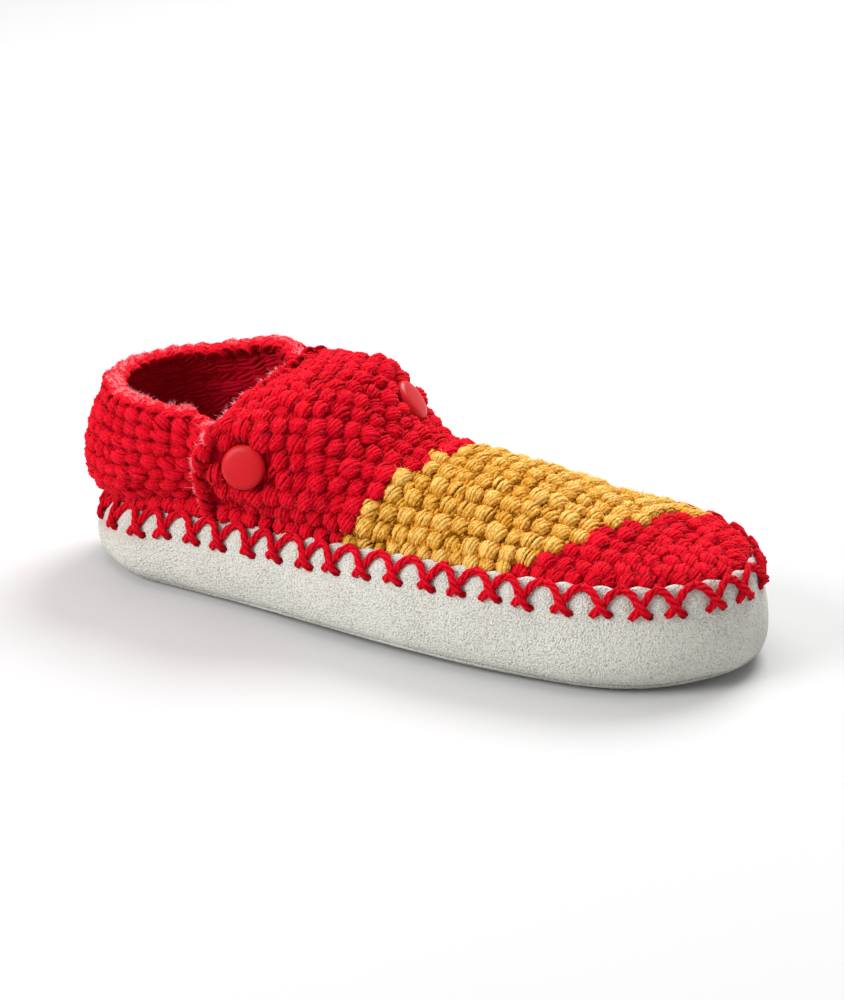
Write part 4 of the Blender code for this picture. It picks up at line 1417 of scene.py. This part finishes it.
def panel_rim(u, v):
    turn = 2 * math.pi * u
    at = plan_point(turn)[..., 0]
    lip, seam = plan_column("lip", at), plan_column("seam", at) - GAP
    half = (seam + underside(at)) / 2

    def ring(inset, height):
        return np.concatenate([plan_inset(turn, inset), height[:, None]], -1)

    rings = [
        ring(PANEL_FIELD, underside(plan_inset(turn, PANEL_FIELD)[:, 0])),
        ring(FOOT_INSET, underside(at) + FOOT_LIFT),
        ring(side_inset(half, lip) + HALF_IN, half),
        *[ring(side_inset(seam, lip) + past.inset, seam + past.up) for past in SEAM_RINGS],
    ]
    row = (v * (len(rings) - 1)).round().astype(int)
    return np.stack(rings)[row, np.arange(len(u))]


def thicken(piece, thickness):
    thick = piece.modifiers.new("thick", "SOLIDIFY")
    thick.thickness = thickness * MM
    thick.offset = -1.0


shape = bmesh.new()
bent_grid(shape, PANEL_STEPS, PANEL_COLUMNS, field_place(PANEL_FIELD, underside))
bent_grid(shape, 2 * PANEL_STEPS, 2 + len(SEAM_RINGS), panel_rim)
bottom_mesh = shape_mesh("suede_bottom", shape)
mark(bottom_mesh, "stain", np.zeros(len(bottom_mesh.vertices)))
suede_bottom = hand_in("suede_bottom", bottom_mesh, suede, "suede_grey", ["outsole"])
thicken(suede_bottom, PANEL_SHEET)

# %% [markdown]
# The footbed is a felt pad that lies in the tub of the sole, under the collar. A grid over the inside of
# the sole gets its thickness and a rounded edge from modifiers, which is less work than a closed mesh.

# %% Footbed
BED_GRID, BED_INSET, BED_THICK, BED_ROUND, SEAM_DROP = (80, 20), 5.4, 5.2, 1.0, 0.2
FELT_DARK, FELT_PALE = (0.26, 0.24, 0.22, 1), (0.54, 0.52, 0.48, 1)


def felt_finish():
    made, wire = start_finish(
        "felt", Roughness=0.95, Sheen_Weight=0.4, Sheen_Roughness=0.6, Specular_IOR_Level=0.1
    )
    place = object_place(wire)
    fibre = noise(place, 900.0, 4.0, Distortion=1.5)
    shade = fibre * 0.7 + noise(place, 45.0) * 0.3
    return end_finish(made, Base_Color=shade.mix(FELT_DARK, FELT_PALE), Normal=relief(fibre, 0.5, 0.6))


def bed_height(at):
    top = np.maximum(underside(at) + OUTSOLE_WALL, plan_column("seam", at) - GAP - SEAM_DROP)
    return top + GAP + INSOLE_WALL


shape = bmesh.new()
bent_grid(shape, *BED_GRID, field_place(BED_INSET, bed_height))
footbed = hand_in("footbed", shape_mesh("footbed", shape), felt_finish(), "insole_felt", ["insole"])
thicken(footbed, BED_THICK)
rounded = footbed.modifiers.new("rounded", "BEVEL")
rounded.width = BED_ROUND * MM
rounded.segments = 2

# %% [markdown]
# Yarn laces the suede to the knit in a row of crosses. Each cross is two strands: they leave the suede
# low and close together, cross, and spread up over the cut edge to meet their neighbours. The strand
# that leans to the heel lies on top. A curve with a round bevel would do for a smooth cord; here a strand
# is a few plies wound round a common line, so that it looks spun from the same yarn as the knit.

# %% Lacing
LACE_PLIES, LACE_RINGS, LACE_SHADE_SPAN = 4, 11, (-3.2, 2.0)
LACE_PLY, LACE_WIND, LACE_WINDS, LACE_FLAT = 0.68, 0.90, 1.1, 0.72
LACE_OVER, CROSSING, CROSSING_LONG = 1.3, 0.33, 0.25
CROSS_WANDER, STRAND_WANDER = 0.35, 0.3
LacePath = namedtuple("LacePath", "share run rise lift")
LACE_PATH = (
    LacePath(0.00, -3.3, -8.5, -1.3),
    LacePath(0.12, -2.4, -7.6, 0.6),
    LacePath(0.34, 0.0, -4.9, 1.3),
    LacePath(0.54, 1.6, -2.8, 1.4),
    LacePath(0.76, 3.3, -0.5, 1.4),
    LacePath(1.00, 6.8, 0.8, 0.4),
)


def strand(middle, way, jitter):
    """Centre line of one strand of a cross, with the directions beside it and out of it."""
    t = np.linspace(0, 1, LACE_RINGS)
    run, rise, lift = [smooth_table(LACE_PATH, "share", column, t) for column in ("run", "rise", "lift")]
    turn = lace_turn(middle + way * (run + jitter[0]))
    lip = plan_column("lip", plan_point(turn)[:, 0])
    height = lip + rise + jitter[1] * (1 - t)
    lift = lift + (LACE_OVER if way < 0 else 0.0) * bell(t, CROSSING, CROSSING_LONG)
    face = side_inset(np.minimum(height, lip), lip) - suede_puff(turn, height)
    line = np.concatenate([plan_inset(turn, face - lift), height[:, None]], 1)
    along = unit(np.gradient(line, axis=0))
    beside = unit(np.cross(along, np.concatenate([plan_normal(turn), np.zeros((LACE_RINGS, 1))], 1)))
    return line, beside, np.cross(beside, along)


def lace_plies():
    """Centre lines and ways out of all plies of the lacing, and a seat and normal for each."""
    t = np.linspace(0, 1, LACE_RINGS)
    lines, ups, seats, normals = [], [], [], []
    for number in range(LACE_COUNT):
        middle = LACE_START + LACE_PITCH * number + CROSS_WANDER * rng.standard_normal()
        for way in (1, -1):
            line, beside, normal = strand(middle, way, STRAND_WANDER * rng.standard_normal(2))
            start = rng.random() * 2 * math.pi
            for ply in range(LACE_PLIES):
                wind = start + 2 * math.pi * (ply / LACE_PLIES + LACE_WINDS * t)
                arm = beside * np.cos(wind)[:, None] + normal * LACE_FLAT * np.sin(wind)[:, None]
                lines.append(line + arm * LACE_WIND)
                ups.append(arm)
                seats.append(line[LACE_RINGS // 2])
                normals.append(normal[LACE_RINGS // 2])
    return np.array(lines), np.array(ups), np.array(seats), np.array(normals)


lines, ups, seats, normals = lace_plies()
plies = (lines, np.full(lines.shape[:2], LACE_PLY), ups)
# The lacing's plies get the same painted highlight and shade by height as the knit.
yarn_piece("lacing", plies, seats, normals, LACE_SHADE_SPAN, red_yarn, "knit_red")

# %% [markdown]
# The snap caps are moulded plastic: a disc with a soft shoulder, made by spinning half of its outline. A
# bevelled cylinder would come close, but the outline also gives the slight dome. The middle comes from the
# solid's box and the way it faces from the tables. The outer cap is tipped up by the slack knit under it.

# %% Snap caps
CAP_DARK, CAP_PALE = (0.50, 0.003, 0.008, 1), (0.56, 0.007, 0.012, 1)
CapRing = namedtuple("CapRing", "radius height")
CAP_OUTLINE = (
    CapRing(0.0, 3.2), CapRing(3.0, 3.17), CapRing(5.2, 3.06), CapRing(6.4, 2.9), CapRing(7.1, 2.6),
    CapRing(7.6, 2.15), CapRing(7.9, 1.6), CapRing(8.0, 1.0), CapRing(7.8, 0.4), CapRing(7.3, 0.0),
    CapRing(0.0, 0.0),
)
CAP_MIDDLE, CAP_STEPS = 1.6, 48
CAP_TILT = {"snap_lateral": (0.12, 0.0, 0.25), "snap_medial": (0.0, 0.0, 0.0)}


def plastic_finish():
    made, wire = start_finish("snap_plastic", Roughness=0.36, Specular_IOR_Level=0.2)
    place = object_place(wire)
    scuff = noise(place, 2600.0)
    colour = noise(place, 220.0, 3.0).mix(CAP_DARK, CAP_PALE)
    return end_finish(
        made, Base_Color=colour, Roughness=scuff * 0.18 + 0.26, Normal=relief(scuff, 0.08, 0.2)
    )


def cap_shape(middle, normal):
    """A cap spun about the upright, then turned to face along the normal and put in its place."""
    shape = bmesh.new()
    verts = [shape.verts.new((r.radius * MM, 0.0, (r.height - CAP_MIDDLE) * MM)) for r in CAP_OUTLINE]
    edges = [shape.edges.new(pair) for pair in zip(verts, verts[1:])]
    bmesh.ops.spin(
        shape, geom=verts + edges, cent=(0, 0, 0), axis=(0, 0, 1), angle=2 * math.pi, steps=CAP_STEPS,
        use_merge=True,
    )
    turned = Vector(normal).to_track_quat("Z", "Y").to_matrix()
    bmesh.ops.rotate(shape, cent=(0, 0, 0), matrix=turned, verts=shape.verts)
    bmesh.ops.translate(shape, vec=middle, verts=shape.verts)
    return shape


plastic = plastic_finish()
for snap in SNAPS:
    low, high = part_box(snap.name)
    facing = unit(snap_frame(snap)[1] + np.array(CAP_TILT[snap.name]))
    cap = shape_mesh(snap.name + "_cap", cap_shape((Vector(low) + Vector(high)) / 2, facing))
    hand_in(snap.name + "_cap", cap, plastic, "snap_plastic", [snap.name])

# %% [markdown]
# Fuzz: a few loose fibres for each ply, longest and closest along the bound edges. A hair system would
# give more of them, but it makes no mesh for the export. Here each fibre is a thin three-sided tube that
# bends once. It is rooted on the side of a ply that faces out, and on the bound edges only on the crest.

# %% Fuzz
FUZZ_SIDES, FUZZ_RINGS, FUZZ_TAPER = 3, 3, 0.7
FUZZ_UP, FUZZ_STRAY, FUZZ_LENGTHS, FUZZ_BEND = 0.4, 0.75, 0.45, 0.55
Crest = namedtuple("Crest", "height facing")
ANYWHERE, ON_TOP = Crest(-1.0, 0.1), Crest(0.4, 0.75)
Fuzz = namedtuple("Fuzz", "sources each length thin crest finish slot")
FUZZ = {
    "front_fuzz": Fuzz(["front_stitches_red"], 3.4, 0.8, 0.05, ANYWHERE, red_fuzz, "knit_red"),
    "band_fuzz": Fuzz(["front_stitches_mustard"], 7.0, 0.85, 0.06, ANYWHERE, mustard_fuzz, "knit_mustard"),
    "heel_fuzz": Fuzz(["heel_stitches", "lacing"], 2.4, 0.8, 0.05, ANYWHERE, red_fuzz, "knit_red"),
    "edge_fuzz": Fuzz(["collar_edge", "flap_edge"], 16.0, 0.95, 0.042, ON_TOP, pale_fuzz, "knit_red"),
}


def fibre_roots(source, each, crest):
    """Places on plies to grow fibres from, and the ways they grow."""
    places, arms, normals, seats = fuzz_roots[source]
    height = np.einsum("nij,nj->ni", places - seats[:, None], normals)
    facing = np.einsum("nij,nj->ni", arms, normals)
    n, c = np.nonzero((height > crest.height) & (facing > crest.facing))
    chosen = rng.choice(len(n), size=int(each * len(places)), replace=True)
    n, c = n[chosen], c[chosen]
    beyond = np.minimum(c + PLY_SIDES, places.shape[1] - 1)
    share = rng.random((len(n), 1))
    roots = places[n, c] * (1 - share) + places[n, beyond] * share
    stray = FUZZ_STRAY * rng.standard_normal((len(n), 3))
    return roots, unit(arms[n, c] + FUZZ_UP * normals[n] + stray)


def fuzz_mesh(name, fuzz):
    """Thin bent fibres on the plies of one or more pieces."""
    grown = [fibre_roots(source, fuzz.each, fuzz.crest) for source in fuzz.sources]
    root, way = [np.concatenate(parts) for parts in zip(*grown)]
    count = len(root)
    reach = fuzz.length * np.exp(FUZZ_LENGTHS * rng.standard_normal((count, 1)))
    bend = unit(np.cross(way, rng.standard_normal((count, 3))))
    t = np.linspace(0, 1, FUZZ_RINGS)[None, :, None]
    lines = root[:, None] + way[:, None] * reach[:, None] * t
    lines = lines + bend[:, None] * reach[:, None] * FUZZ_BEND * t**2
    radii = np.broadcast_to(fuzz.thin * (1 - FUZZ_TAPER * t[0, :, 0]), (count, FUZZ_RINGS))
    places, _, _, faces = tubes(lines, radii, np.broadcast_to(bend[:, None], lines.shape), FUZZ_SIDES)
    mesh = tube_mesh(name, places, faces)
    mark(mesh, "tone", np.repeat(rng.random(count), places.shape[1]))
    return mesh


for name, fuzz in FUZZ.items():
    hand_in(name, fuzz_mesh(name, fuzz), fuzz.finish, fuzz.slot)

# %% [markdown]
# The studio is a pale floor under an even white sky. One soft lamp behind draws the shadow towards the
# camera, a wide one hangs overhead, and one at the front left fills the side that the camera sees. The
# studio is no part of the slipper's drawing, so its sizes are metres and watts.

# %% Floor and light
FLOOR_HALF, FLOOR_DARK, FLOOR_PALE = 6.0, (0.55, 0.55, 0.55, 1), (0.57, 0.57, 0.57, 1)
SKY_COLOUR, SKY_STRENGTH = (1.0, 1.0, 1.0, 1), 0.48
LAMP_AIM = (0.0, 0.0, 0.03)
Lamp = namedtuple("Lamp", "name place size power")
LAMPS = (
    Lamp("key", (0.05, 1.05, 1.2), 0.9, 26.0),
    Lamp("overhead", (-0.3, 0.1, 1.6), 1.3, 10.0),
    Lamp("front_left", (-0.85, -1.2, 0.95), 1.1, 24.0),
)


def floor_finish():
    made, wire = start_finish("pale_floor", Roughness=0.9, Specular_IOR_Level=0.1)
    return end_finish(made, Base_Color=noise(object_place(wire), 3.0).mix(FLOOR_DARK, FLOOR_PALE))


def hang(lamp):
    made = bpy.data.objects.new(lamp.name, bpy.data.lights.new(lamp.name, "AREA"))
    made.data.shape = "DISK"
    made.data.size = lamp.size
    made.data.energy = lamp.power
    made.location = lamp.place
    made.rotation_mode = "QUATERNION"
    made.rotation_quaternion = (Vector(LAMP_AIM) - Vector(lamp.place)).to_track_quat("-Z", "Y")
    bpy.context.scene.collection.objects.link(made)


shape = bmesh.new()
bmesh.ops.create_grid(shape, x_segments=8, y_segments=8, size=FLOOR_HALF)
floor_mesh = bpy.data.meshes.new("floor")
shape.to_mesh(floor_mesh)
shape.free()
floor_mesh.materials.append(floor_finish())
floor = bpy.data.objects.new("floor", floor_mesh)
bpy.context.scene.collection.objects.link(floor)
floor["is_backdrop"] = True

world = bpy.data.worlds.new("studio")
world.use_nodes = True
sky = world.node_tree.nodes["Background"]
sky.inputs["Color"].default_value = SKY_COLOUR
sky.inputs["Strength"].default_value = SKY_STRENGTH
bpy.context.scene.world = world
for lamp in LAMPS:
    hang(lamp)
bpy.context.scene.view_settings.view_transform = "Standard"
print("lamps", [o.name for o in bpy.data.objects if o.type == "LIGHT"])

# %% Sizes
low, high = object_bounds()
